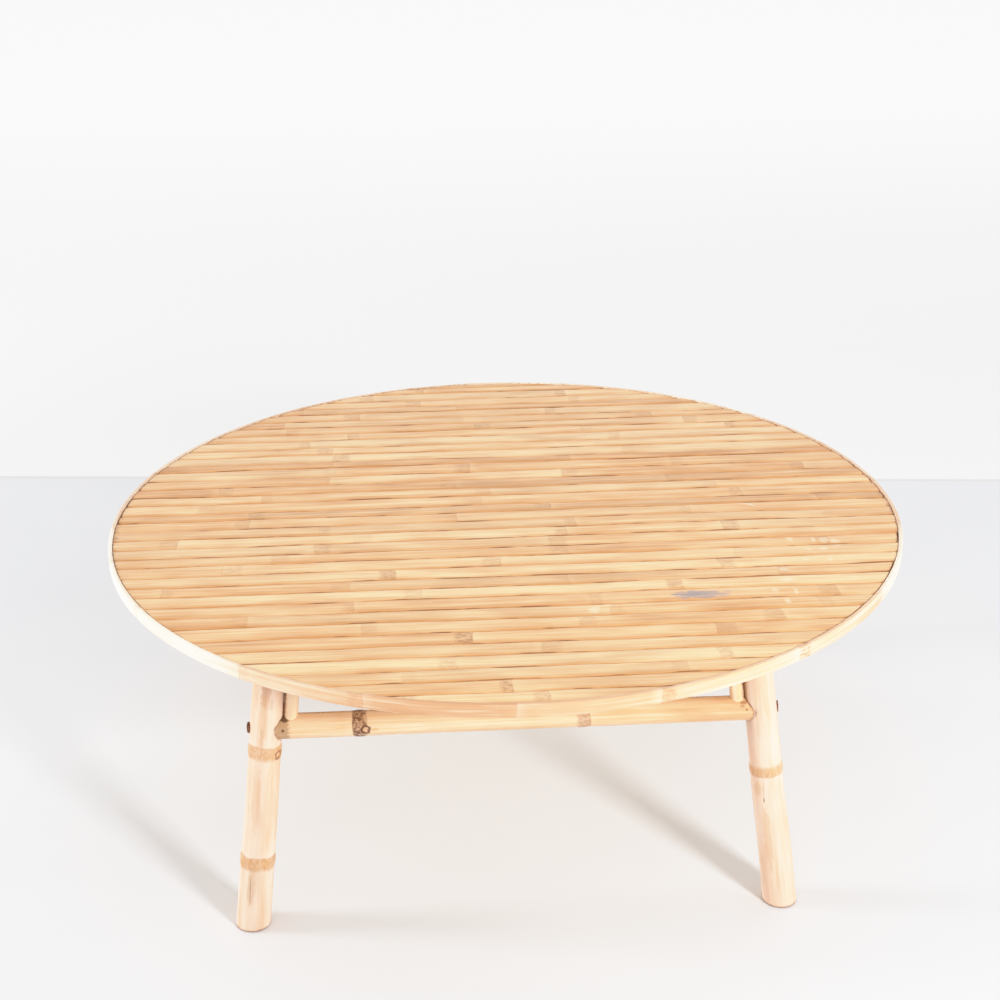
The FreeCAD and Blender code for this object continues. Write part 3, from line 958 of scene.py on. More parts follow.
@dataclass
class RimBand:
    """The bent strip round the slats, with its long scarf joint at the back."""

    radius: float = 499.75 * MM
    thickness: float = 4.9 * MM
    least_wall: float = 0.25 * MM
    bottom: float = 374.0 * MM
    top: float = 390.0 * MM
    top_waver: float = 0.1 * MM
    edge_round: float = 1.2 * MM
    scarf_turn: float = math.radians(8.0)
    scarf_gap: float = 0.3 * MM
    node_turns: tuple[float, ...] = (
        104, 124, 143, 161, 181, 192.5, 209, 232.8, 248.6, 267.0, 286.6, 307.4, 326, 350.5, 367, 383, 400, 418, 436)
    # stretch shades of the band: partly its own tone, and partly painted light and shade, near white on the left
    # where the fill lamp falls and darker in the shaded front middle
    shades_and_painted_light: tuple[tuple[int, Shade], ...] = (
        (5, Shade.PALE), (6, Shade.PALE), (7, Shade.PALE), (8, Shade.HONEY), (9, Shade.BROWN), (10, Shade.AMBER),
        (11, Shade.HONEY), (12, Shade.HONEY), (13, Shade.CREAM), (14, Shade.HONEY))
    tint: float = 0.12
    node_swell: float = 0.2 * MM
    swell_reach: float = 5 * MM
    inner_soil: float = 0.42
    soil_from: tuple[float, float] = (2.2 * MM, 0.4 * MM)  # from the inner wall, where dirt starts and is full
    angle_step: float = math.radians(0.7)
    node_cluster: tuple[float, ...] = (-14, -8, -4, -1.5, 0, 1.5, 4, 8, 14)  # mm

    def build(self, material: Material) -> None:
        """Build the band: a rounded rectangle carried round the circle, thinned to an edge at both scarf ends.

        Args:
            material: The band's material.
        """
        start, stop = math.radians(90) - self.scarf_turn / 2, math.radians(450) + self.scarf_turn / 2
        rings = np.radians(self.node_turns)
        run = Run.grown(tuple(rings * self.radius), Shade.STRAW.value, 41, spread=0.08, marks=(13 * MM, 18 * MM))
        # the listed stretch shades, which paint light on the band's left and shade on its front
        for stretch, shade in self.shades_and_painted_light:
            run.shades[stretch] = shade.value
        run.tints = np.full_like(run.tints, self.tint)
        close = (run.places[:, None] + np.array(self.node_cluster) * MM).ravel() / self.radius
        even = np.linspace(start, stop, int((stop - start) / self.angle_step))
        angle = np.unique(np.concatenate([even, close[(close > start) & (close < stop)]]))
        along = angle * self.radius

        from_start, from_stop = (np.clip(gap / self.scarf_turn, 0, 1) for gap in (angle - start, stop - angle))
        thinned = self.thickness - self.scarf_gap
        swell = near(along[:, None] - run.centres[None, :], self.swell_reach) * run.depths
        outer = self.radius - thinned * (1 - from_start) + swell.sum(axis=1) * self.node_swell
        inner = np.minimum(self.radius - self.thickness + thinned * (1 - from_stop), outer - self.least_wall)
        top = self.top + ripple(along, 42, (0.9, 0.37, 0.21), self.top_waver) - self.top_waver
        bottom = np.full_like(along, self.bottom)

        ease = np.minimum(self.edge_round, (outer - inner) / 2.2)[:, None]
        quarter = np.linspace(0, math.pi / 2, 4)
        radial, height = [], []
        for wall, way, level, rise, bend in ((outer, 1, top, -1, quarter[::-1]), (outer, 1, bottom, 1, quarter),
                                             (inner, -1, bottom, 1, quarter[::-1]), (inner, -1, top, -1, quarter)):
            radial.append(wall[:, None] - way * ease * (1 - np.cos(bend)))
            height.append(level[:, None] + rise * ease * (1 - np.sin(bend)))
        radial, height = np.concatenate(radial, axis=1), np.concatenate(height, axis=1)
        points = np.stack([radial * np.cos(angle)[:, None], radial * np.sin(angle)[:, None], height], axis=-1)
        fibre = np.stack([np.broadcast_to(along[:, None], radial.shape), height, radial], axis=-1)
        inside = smooth_step(outer[:, None] - radial, *(self.thickness - gap for gap in self.soil_from))
        skin = Skin(points=points, fibre=fibre, run=run, soil_and_shade=self.inner_soil * inside)
        skin.build("bamboo_rim_band", material, TABLE_BODY, "band_bamboo", "rim_band")


# Round poles

@dataclass(frozen=True)
class Knot:
    """The scar of a branch: how far it is past a node, or along the pole, at which angle, and how large."""

    along: float
    angle: float
    radius: float = 5.5 * MM
    height: float = 0.7 * MM
    node: int = 0

    def on(self, nodes: np.ndarray) -> "Knot":
        """The same knot with its distance along the pole."""
        return replace(self, along=nodes[self.node] + self.along)


@dataclass
class Culm:
    """A round length of bamboo on a straight axis.

    Its radius is a straight taper, plus a flat-topped swell at each node with a groove at either side of it,
    a little ovality and unevenness, a ridge, and for each knot a raised ring with a dip in it and a shallow
    groove that runs on along the stretch above. bow moves the pole outward between two heights. flank is the
    angle and the height of the ridge along the pole.
    """

    origin: np.ndarray
    axis: np.ndarray
    outward: np.ndarray
    radii: tuple[float, float]
    radius_places: tuple[float, float]
    run: Run
    seed: int
    swell: float = 0.9 * MM
    swell_length: float = 7.5 * MM
    groove: float = 0.25 * MM
    groove_reach: float = 0.9 * MM
    ovality: float = 0.12 * MM
    unevenness: float = 0.16 * MM
    lump_waves: tuple[float, ...] = (0.11, 0.047, 0.19)
    knots: tuple[Knot, ...] = ()
    knot_track: float = 0.45 * MM  # depth of the groove above a knot
    track_reach: float = 4.5 * MM
    track_length: float = 0.16
    bow: float = 0.0
    bow_heights: tuple[float, float] = (30 * MM, 190 * MM)
    flank: tuple[float, float] = (0.0, 0.0)
    flank_reach: float = 0.75

    @property
    def sideways(self) -> np.ndarray:
        """Unit vector square to the axis and to outward."""
        return np.cross(self.axis, self.outward)

    def radius(self, along: np.ndarray, angle: np.ndarray) -> np.ndarray:
        """The radius of the pole, as the class's text says.

        Args:
            along: Places along the pole.
            angle: Angles round it, of the same shape.

        Returns:
            The radius at each place and angle.
        """
        plain = np.interp(along, self.radius_places, self.radii)
        reach = along[..., None] - self.run.centres
        bump = (np.exp(-((reach / self.swell_length) ** 4)) * self.run.depths).sum(axis=-1) * self.swell
        grooves = (near(np.abs(reach) - self.swell_length, self.groove_reach) * self.run.depths).sum(axis=-1)
        oval = self.ovality * np.cos(2 * angle + self.seed)
        lumps = ripple(along + 0.02 * np.sin(angle + self.seed), self.seed, self.lump_waves, self.unevenness)
        side, height = self.flank
        ridge = height * near(signed_turn(angle - side), self.flank_reach)
        result = plain + bump - grooves * self.groove + oval + lumps + ridge
        for knot in self.knots:
            past, beside = along - knot.along, signed_turn(angle - knot.angle) * plain
            gap = np.hypot(past, beside)
            result = result + knot.height * near(gap - 0.75 * knot.radius, 0.28 * knot.radius)
            result = result - 0.8 * knot.height * near(gap, 0.4 * knot.radius)
            onward = smooth_step(past, 4 * MM, 25 * MM) * smooth_step(self.track_length - past, 0, 0.12)
            result = result - self.knot_track * onward * near(beside, self.track_reach)
        return result

    def place(self, along: np.ndarray, angle: np.ndarray, radius: np.ndarray) -> np.ndarray:
        """Points in the frame: along the axis, plus the radius along the spoke at the angle, plus the bow.

        Args:
            along: Distances along the axis.
            angle: Angles round it.
            radius: Distances from it.

        Returns:
            The points.
        """
        spoke = np.cos(angle)[..., None] * self.outward + np.sin(angle)[..., None] * self.sideways
        bend = self.bow * smooth_step(along, *self.bow_heights)[..., None] * self.outward
        return self.origin + along[..., None] * self.axis + radius[..., None] * spoke + bend

    def lines(self, radius: float, columns: int) -> np.ndarray:
        """The points at the origin's height from which straight lines run along the pole, at one radius."""
        return self.place(np.zeros(columns), turns_round(columns), np.full(columns, radius))

    def knot_centre(self) -> tuple[float, float, float]:
        """Find the first knot in the pole's own place of fibre.

        Returns:
            Its middle, or nowhere.
        """
        if not self.knots:
            return (NOWHERE, NOWHERE, NOWHERE)
        knot = self.knots[0]
        radius = float(np.interp(knot.along, self.radius_places, self.radii))
        return (knot.along + self.seed, radius * math.cos(knot.angle), radius * math.sin(knot.angle))


@dataclass
class CulmSkin:
    """Turns a culm into a closed skin between two trimmed ends.

    start and stop give, for each angle round the pole, how far along its line the end is cut. The end faces
    are closed by rings that shrink towards their middle.
    """

    culm: Culm
    start: np.ndarray
    stop: np.ndarray
    ease: tuple[float, float]
    cut_reach: tuple[float, float] = (3.5 * MM, 0.3 * MM)
    row_step: float = 2.4 * MM
    rim_steps: tuple[float, ...] = (0.0, 0.08, 0.3, 0.62, 1.0)
    cap_rings: tuple[float, ...] = (0.86, 0.6, 0.3, 0.05)

    def skin(self) -> Skin:
        """Work out the rows: an eased rim, even rows along, an eased rim, and rings that close the ends.

        Returns:
            The skin.
        """
        first, last = self.ease
        rim = np.array(self.rim_steps)
        count = int((self.stop - self.start).mean() / self.row_step)
        inner = np.linspace(0, 1, count)[1:-1, None]
        lead = self.start[None, :] + first * rim[:, None]
        tail = self.stop[None, :] - last * rim[::-1, None]
        along = np.concatenate([lead, lead[-1] + inner * (tail[0] - lead[-1]), tail])
        turn = np.broadcast_to(turns_round(len(self.start)), along.shape)
        radius = self.culm.radius(along, turn)
        radius = radius - self.fall(along - self.start, first) - self.fall(self.stop - along, last)
        rows = self.culm.place(along, turn, radius)
        cut = sum(smooth_step(gap, *self.cut_reach) for gap in (along - self.start, self.stop - along))
        fibre = np.stack([along, radius * np.cos(turn), radius * np.sin(turn)], axis=-1)

        head, head_fibre = self.cap(rows[0], fibre[0])
        end, end_fibre = self.cap(rows[-1], fibre[-1])
        points = np.concatenate([head[::-1], rows, end])
        fibre = np.concatenate([head_fibre[::-1], fibre, end_fibre])
        cut = np.concatenate([np.ones(head.shape[:2]), cut, np.ones(end.shape[:2])])
        fibre[..., 0] += self.culm.seed
        moved = replace(self.culm.run, places=self.culm.run.places + self.culm.seed)
        return Skin(points=points, fibre=fibre, run=moved, cut=cut, knot=self.culm.knot_centre())

    @staticmethod
    def fall(distance: np.ndarray, ease: float) -> np.ndarray:
        """How far a rounded rim falls back: ease minus the root of ease squared minus (ease - distance) squared."""
        depth = np.clip(ease - distance, 0, ease)
        return ease - np.sqrt(np.maximum(ease ** 2 - depth ** 2, 0))

    def cap(self, edge: np.ndarray, fibre: np.ndarray) -> tuple[np.ndarray, np.ndarray]:
        """Rings that shrink from the edge of an end face to its middle.

        Args:
            edge: The last row of points.
            fibre: Its places in the fibre.

        Returns:
            The rings' points and their places in the fibre.
        """
        shares = np.array(self.cap_rings)[:, None, None]
        middle, heart = edge.mean(axis=0), fibre.mean(axis=0)
        return middle + shares * (edge - middle), heart + shares * (fibre - heart)


def hollow(piece: bpy.types.Object, cutters: list[tuple[Vector, Vector, float]], columns: int = 72) -> None:
    """Bore round holes into a piece, one cutter after the other, and apply them.

    Args:
        piece: Object to bore.
        cutters: For each hole its start, its end and its radius.
        columns: Number of sides of a cutter.
    """
    for start, end, radius in cutters:
        axis, angle = end - start, turns_round(columns)
        ring = [np.cos(angle) * radius, np.sin(angle) * radius]
        rows = np.stack([np.stack([*ring, np.full(columns, level)], axis=-1) for level in (0.0, axis.length)])
        mesh = Skin(points=rows, fibre=rows, run=Run.grown((), 0.5, 0)).mesh("borer")
        mesh.transform(Matrix.Translation(start) @ axis.to_track_quat("Z", "Y").to_matrix().to_4x4())
        borer = bpy.data.objects.new("borer", mesh)
        bpy.context.scene.collection.objects.link(borer)
        bore = piece.modifiers.new("bore", "BOOLEAN")
        bore.object, bore.operation, bore.solver = borer, "DIFFERENCE", "EXACT"
        depsgraph = bpy.context.evaluated_depsgraph_get()
        bored = bpy.data.meshes.new_from_object(piece.evaluated_get(depsgraph), depsgraph=depsgraph)
        piece.modifiers.remove(bore)
        whole, piece.data = piece.data, bored
        bpy.data.meshes.remove(whole)
        bpy.data.objects.remove(borer)
        bpy.data.meshes.remove(mesh)
    piece.data.set_sharp_from_angle(angle=SHARP_ANGLE)


@dataclass(frozen=True)
class LegLook:
    """What differs from leg to leg: nodes as shares of the table's height, bow, end of the pin, and a knot."""

    nodes: tuple[float, ...]
    bow: float
    pin_end: float
    knots: tuple[Knot, ...] = ()


LEG_LOOKS = {
    Corner.FRONT_LEFT: LegLook((0.229, 0.597), 2.0 * MM, 4.2 * MM,
                               (Knot(-1 * MM, math.radians(-34), 6.4 * MM, 0.9 * MM, node=1),)),
    Corner.FRONT_RIGHT: LegLook((0.472,), 2.8 * MM, 2.2 * MM),
    Corner.BACK_LEFT: LegLook((0.330, 0.720), 1.4 * MM, 3.0 * MM),
    Corner.BACK_RIGHT: LegLook((0.150, 0.520), 2.2 * MM, 3.6 * MM, (Knot(2 * MM, math.radians(120)),)),
}


@dataclass(frozen=True)
class BarLook:
    """What differs from bar to bar: nodes as shares of the half span, with their pits and depths, and a knot.

    The knot's angle starts at the front and goes down and back.
    """

    name: str
    nodes: tuple[float, ...]
    pits: tuple[float, ...]
    depths: tuple[float, ...]
    knots: tuple[Knot, ...] = ()


BAR_LOOKS = {
    -1: BarLook("front_crossbar", (-0.62, 0.267), (1.0, 0.25), (1.0, 0.6),
                (Knot(7 * MM, math.radians(2), 6.4 * MM, 1.1 * MM),)),
    1: BarLook("back_crossbar", (-0.330, 0.560), (0.2, 0.8), (0.6, 1.0)),
}


@dataclass
class LegFrames:
    """The two crossbars with their posts and pins, and the four splayed legs that fold about the bars' ends."""

    shift: float = -7 * MM
    half_span: float = 288 * MM
    half_depth: float = 302 * MM
    pivot_height: float = 260 * MM
    side_slope: float = math.tan(math.radians(6.4))
    end_slope: float = math.tan(math.radians(3.0))
    table_height: float = 390 * MM
    underside: float = 374.2 * MM
    columns: int = 72

    leg_radii: tuple[float, float] = (20.5 * MM, 17.1 * MM)
    leg_radius: float = 18.0 * MM  # at the crossbar
    leg_marks: tuple[float, float] = (14.5 * MM, 17 * MM)
    leg_depth: float = 0.9
    head_reach: float = 113.7 * MM
    leg_ease: tuple[float, float] = (2.5 * MM, 0.6 * MM)
    foot_hollow: tuple[float, float] = (8.5 * MM, 46 * MM)
    head_hollow: tuple[float, float] = (7 * MM, 40 * MM)
    socket_radius: float = 14.8 * MM
    socket_floor: float = 9 * MM
    bore_radius: float = 5.08 * MM
    borer_past: tuple[float, float, float] = (30, 40, 60)  # mm past the foot, and from the pivot in and out
    foot_soil: float = 0.8
    foot_line: float = 1.3 * MM  # height and reach of the dirt line at the foot
    # painted contact shade round the leg's socket, on the side towards the bar
    socket_shade: float = 0.6
    socket_line: float = 2 * MM

    bar_radius: float = 14.5 * MM
    bar_marks: tuple[float, float] = (13 * MM, 16 * MM)
    bar_ease: float = 0.6 * MM
    # painted shade: a bar's upper side, which the band shades, is darker
    top_shade_turn: float = math.radians(25)
    top_shade_share: float = 0.5
    # painted shade where a bar meets a leg, stronger on its top
    touch_shade: tuple[float, float] = (0.55, 0.4)  # where a bar meets a leg, and how much more on its top
    touch_reach: float = 1.3 * MM

    post_radius: float = 7.75 * MM
    post_offset: float = 30 * MM
    post_columns: int = 48
    post_ease: tuple[float, float] = (0.5 * MM, 0.3 * MM)
    post_gap: float = 0.3 * MM  # between a post's ridge and its leg
    post_sink: float = 0.15 * MM  # how far a post's mouth sits into the bar
    # painted shade on a post's side in the crevice by its leg, and on its left side, away from the key lamp
    post_shade: tuple[float, float] = (0.62, 0.2)  # on the side towards the leg, and on the left side

    pin_radius: float = 5 * MM
    pin_flare: float = 0.6 * MM
    pin_jag: float = 2.2 * MM
    shank_rows: int = 12
    head_rows: tuple[float, ...] = (1.1, 0.95, 0.75, 0.55, 0.35, 0.2, 0.1)
    face_rings: tuple[float, ...] = (0.93, 0.8, 0.6, 0.4, 0.2, 0.02)
    jag_waves: tuple[float, ...] = (1.26 * MM, 0.785 * MM, 0.449 * MM, 0.286 * MM)  # 1 mm is one radian
    torn_waves: tuple[float, ...] = (0.785 * MM, 0.449 * MM, 0.349 * MM)
    torn_rows: tuple[float, ...] = (0.5, 0.8, 1.0, 1.0, 0.7, 0.9, 0.4)

    def pivot(self, corner: Corner) -> np.ndarray:
        """Where a leg turns: the end of its crossbar's axis."""
        return np.array([self.shift + corner.side * self.half_span, corner.end * self.half_depth, self.pivot_height])

    def up(self, corner: Corner) -> np.ndarray:
        """Unit vector up a leg's axis."""
        return unit(np.array([-corner.side * self.side_slope, -corner.end * self.end_slope, 1.0]))

    def leg(self, corner: Corner, material: Material) -> None:
        """Build one leg: a culm cut level at the foot and rounded about the fold axis at the head, then bored.

        A line up the pole meets the floor where its height is 0, and it meets the head's round where its
        distance from the fold axis is the head's reach, which is a quadratic equation along the line.

        Args:
            corner: The leg's corner.
            material: The legs' material.
        """
        pivot, up, look = self.pivot(corner), self.up(corner), LEG_LOOKS[corner]
        lean = 1 / up[2]
        foot = pivot - up * self.pivot_height * lean
        outward = np.array([up[2], 0.0, -up[0]]) / math.hypot(up[2], up[0])
        outward = unit(outward - up * outward.dot(up))
        heights = np.array(look.nodes) * self.table_height * lean
        run = Run.grown(tuple(heights), Shade.STRAW.value, 60 + 7 * corner.side + corner.end, spread=0.08,
                        marks=self.leg_marks)
        run.depths = np.full_like(run.depths, self.leg_depth)
        culm = Culm(foot, up, outward, self.leg_radii, (0.0, self.table_height), run,
                    seed=3 + corner.side + 2 * corner.end, knots=tuple(knot.on(heights) for knot in look.knots),
                    bow=-corner.side * look.bow)

        foot_radius, head_radius = self.leg_radii
        start = -culm.lines(foot_radius, self.columns)[:, 2] / up[2]
        apart = culm.lines(head_radius, self.columns)[:, 1:] - pivot[1:]
        a = (up[1:] ** 2).sum()
        b = (apart * up[1:]).sum(axis=1)
        c = (apart ** 2).sum(axis=1) - self.head_reach ** 2
        stop = (-b + np.sqrt(b * b - a * c)) / a
        skin = CulmSkin(culm, start, stop, self.leg_ease).skin()
        x, y, z = np.moveaxis(skin.points, -1, 0)
        z[...] = np.maximum(z, 0.0)
        facing = (pivot[0] - x) * corner.side > 0
        from_socket = np.hypot(y - pivot[1], z - pivot[2]) - self.socket_radius
        # dirt along the foot, and painted shade round the socket on the side towards the bar
        skin.soil_and_shade = (self.foot_soil * near(z - self.foot_line, self.foot_line)
                     + self.socket_shade * facing * near(from_socket, self.socket_line))
        name = f"{corner.label}_leg"
        piece = skin.build(f"bamboo_{name}", material, name, "leg_bamboo", name)

        inward, rise, base, centre = Vector((-corner.side, 0.0, 0.0)), Vector(up), Vector(foot), Vector(pivot)
        foot_past, socket_past, bore_past = self.borer_past
        foot_width, foot_depth = self.foot_hollow
        head_width, head_depth = self.head_hollow
        hollow(piece, [
            (base - rise * foot_past * MM, base + rise * foot_depth, foot_width),
            (centre + rise * (self.head_reach - head_depth), centre + rise * 2 * self.head_reach, head_width),
            (centre + inward * self.socket_floor, centre + inward * socket_past * MM, self.socket_radius),
            (centre + inward * (self.socket_floor + 2 * MM), centre - inward * bore_past * MM, self.bore_radius),
        ], self.columns)

    def crossbar(self, end: int, material: Material) -> None:
        """Build one crossbar: a culm along X between the sockets of its two legs.

        Args:
            end: -1 for the front bar and 1 for the back bar.
            material: The crossbars' material.
        """
        look = BAR_LOOKS[end]
        low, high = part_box(look.name)
        origin = np.array([low.x, end * self.half_depth, self.pivot_height])
        places = np.array(look.nodes) * self.half_span + self.shift - low.x
        run = Run.grown(tuple(places), Shade.HONEY.value, 80 + end, spread=0.1, marks=self.bar_marks,
                        pits=look.pits)
        run.depths = np.array(look.depths)
        culm = Culm(origin, np.array([1.0, 0, 0]), np.array([0, -1.0, 0]), (self.bar_radius, self.bar_radius),
                    (0.0, 1.0), run, seed=11 + end, swell=0.8 * MM, swell_length=6.5 * MM, unevenness=0.12 * MM,
                    knots=tuple(knot.on(places) for knot in look.knots))
        zero = np.zeros(self.columns)
        ease = (self.bar_ease, self.bar_ease)
        skin = CulmSkin(culm, zero, zero + (high.x - low.x), ease, row_step=1.3 * MM).skin()
        rise = (skin.points[..., 2] - self.pivot_height) / self.bar_radius
        inward = -end * (skin.points[..., 1] - origin[1]) / self.bar_radius
        # painted shade on the bar's upper side, under the band
        upper = rise * math.cos(self.top_shade_turn) + inward * math.sin(self.top_shade_turn)
        skin.soil_and_shade = self.top_shade_share * smooth_step(upper, 0.88, 1.0)
        # painted shade in the crevice where each leg meets the bar, more on its top
        least, more = self.touch_shade
        for corner in Corner:
            if corner.end == end:
                skin.soil_and_shade = skin.soil_and_shade + self.leg_touch(corner, skin.points) * (least + more * rise)
        skin.build(f"bamboo_{look.name}", material, TABLE_BODY, "crossbar_bamboo", look.name)

    def leg_touch(self, corner: Corner, points: np.ndarray) -> np.ndarray:
        """How close points are to a leg's skin: a bell curve of the distance from its axis less its radius.

        Args:
            corner: The leg's corner.
            points: The points.

        Returns:
            1 on the skin, and down to 0 away from it.
        """
        centre = self.pivot(corner) - np.array([corner.side * LEG_LOOKS[corner].bow, 0, 0])
        apart = np.linalg.norm(np.cross(points - centre, self.up(corner)), axis=-1)
        return near(apart - self.leg_radius, self.touch_reach)

    def post(self, corner: Corner, material: Material) -> None:
        """Build one hanger post: a thin culm, fish-mouthed over the bar and cut flat under the top.

        A line up the post leaves the bar's round where its distance from the bar's axis is the bar's radius.

        Args:
            corner: The post's corner.
            material: The crossbars' material, which the posts share.
        """
        foot = self.pivot(corner) - np.array([corner.side * self.post_offset, 0, 0])
        up = unit(np.array([-corner.side * self.side_slope, 0, 1.0]))
        run = Run.grown((), Shade.HONEY.value, 120 + corner.side + 3 * corner.end)
        gap = self.post_offset - self.post_radius - self.leg_radius - LEG_LOOKS[corner].bow
        culm = Culm(foot, up, np.array([0.0, -1.0, 0.0]), (self.post_radius, self.post_radius), (0.0, 1.0), run,
                    seed=21 + corner.side + 2 * corner.end, unevenness=0.08 * MM,
                    flank=(corner.side * math.pi / 2, gap - self.post_gap))
        line = culm.lines(self.post_radius, self.post_columns)
        depth, height = line[:, 1] - foot[1], line[:, 2] - foot[2]
        rise = np.sqrt(np.maximum((self.bar_radius - self.post_sink) ** 2 - depth ** 2, 0))
        mouth, top = (rise - height) / up[2], (self.underside - line[:, 2]) / up[2]
        skin = CulmSkin(culm, mouth, top, self.post_ease, row_step=2 * MM).skin()
        # painted shade: darker towards the leg, in the crevice, and on the left side
        facing = skin.fibre[..., 2] / np.maximum(np.hypot(skin.fibre[..., 1], skin.fibre[..., 2]), 1e-6)
        inner, left = self.post_shade
        skin.soil_and_shade = inner * smooth_step(facing * corner.side, 0.6, 0.9) + left * smooth_step(-facing, 0.2, 0.9)
        name = f"{corner.label}_hanger_post"
        skin.build(f"bamboo_{name}", material, TABLE_BODY, "crossbar_bamboo", name)

    def pin(self, corner: Corner, material: Material) -> None:
        """Build one pivot pin: a straight shank in the bar, and outside the leg its frayed end.

        The end's radius wavers with the angle, and its face is broken fibre of uneven length.

        Args:
            corner: The pin's corner.
            material: The pins' material.
        """
        name, side, pivot, look = f"{corner.label}_pivot_pin", corner.side, self.pivot(corner), LEG_LOOKS[corner]
        low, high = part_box(name)
        inner = low.x if side > 0 else high.x
        seed, head = 31 + side + 2 * corner.end, look.pin_end
        length = abs(pivot[0] - inner) + self.leg_radius - look.bow + head
        along = np.concatenate([np.linspace(0, length - head - 0.6 * MM, self.shank_rows),
                                length - head * np.array(self.head_rows), np.full(len(self.face_rings), length)])
        angle = turns_round(self.columns)
        flare = smooth_step(along, length - 1.15 * head, length - 0.8 * head)[:, None]
        jagged = ripple(angle * MM, seed, self.jag_waves, 1.0)
        radius = self.pin_radius + flare * self.pin_flare + flare * self.pin_jag * jagged
        radius[-len(self.face_rings):] *= np.array(self.face_rings)[:, None]
        torn = np.minimum(np.abs(ripple(angle * MM, seed + 5, self.torn_waves, 3.0)), 0.92) * head
        reach = np.broadcast_to(along[:, None], radius.shape).copy()
        reach[-len(self.torn_rows) - 1:-1] -= torn * np.array(self.torn_rows)[:, None]
        points = np.stack([
            inner + side * reach,
            pivot[1] + side * radius * np.cos(angle),
            pivot[2] + radius * np.sin(angle),
        ], axis=-1)
        skin = Skin(points=points, fibre=points, run=Run.grown((), 0.5, seed))
        skin.build(f"riven_{name}", material, TABLE_BODY, "pin_wood", name)

    def build(self, leg_material: Material, bar_material: Material, pin_material: Material) -> None:
        """Build the bars, and at each corner the leg, the post and the pin.

        Args:
            leg_material: The legs' material.
            bar_material: The crossbars' and posts' material.
            pin_material: The pins' material.
        """
        for end in BAR_LOOKS:
            self.crossbar(end, bar_material)
        for corner in Corner:
            self.leg(corner, leg_material)
            self.post(corner, bar_material)
            self.pin(corner, pin_material)


# Hidden parts that keep their CAD shape

def dress(material: Material, *nodes: str) -> None:
    """Give CAD nodes a finished material in all their slots.

    Args:
        material: The material.
        nodes: Names of the nodes.
    """
    for node in nodes:
        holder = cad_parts[node]
        if not holder.data.materials:
            holder.data.materials.append(material)
        for slot in holder.material_slots:
            slot.material = material
        log.info("%s: keeps its CAD shape, in %s", node, material.name)


# Studio and camera

@dataclass(frozen=True)
class Lamp:
    """A square area lamp: its place, its power in watts and its width."""

    place: tuple[float, float, float]
    power: float
    width: float


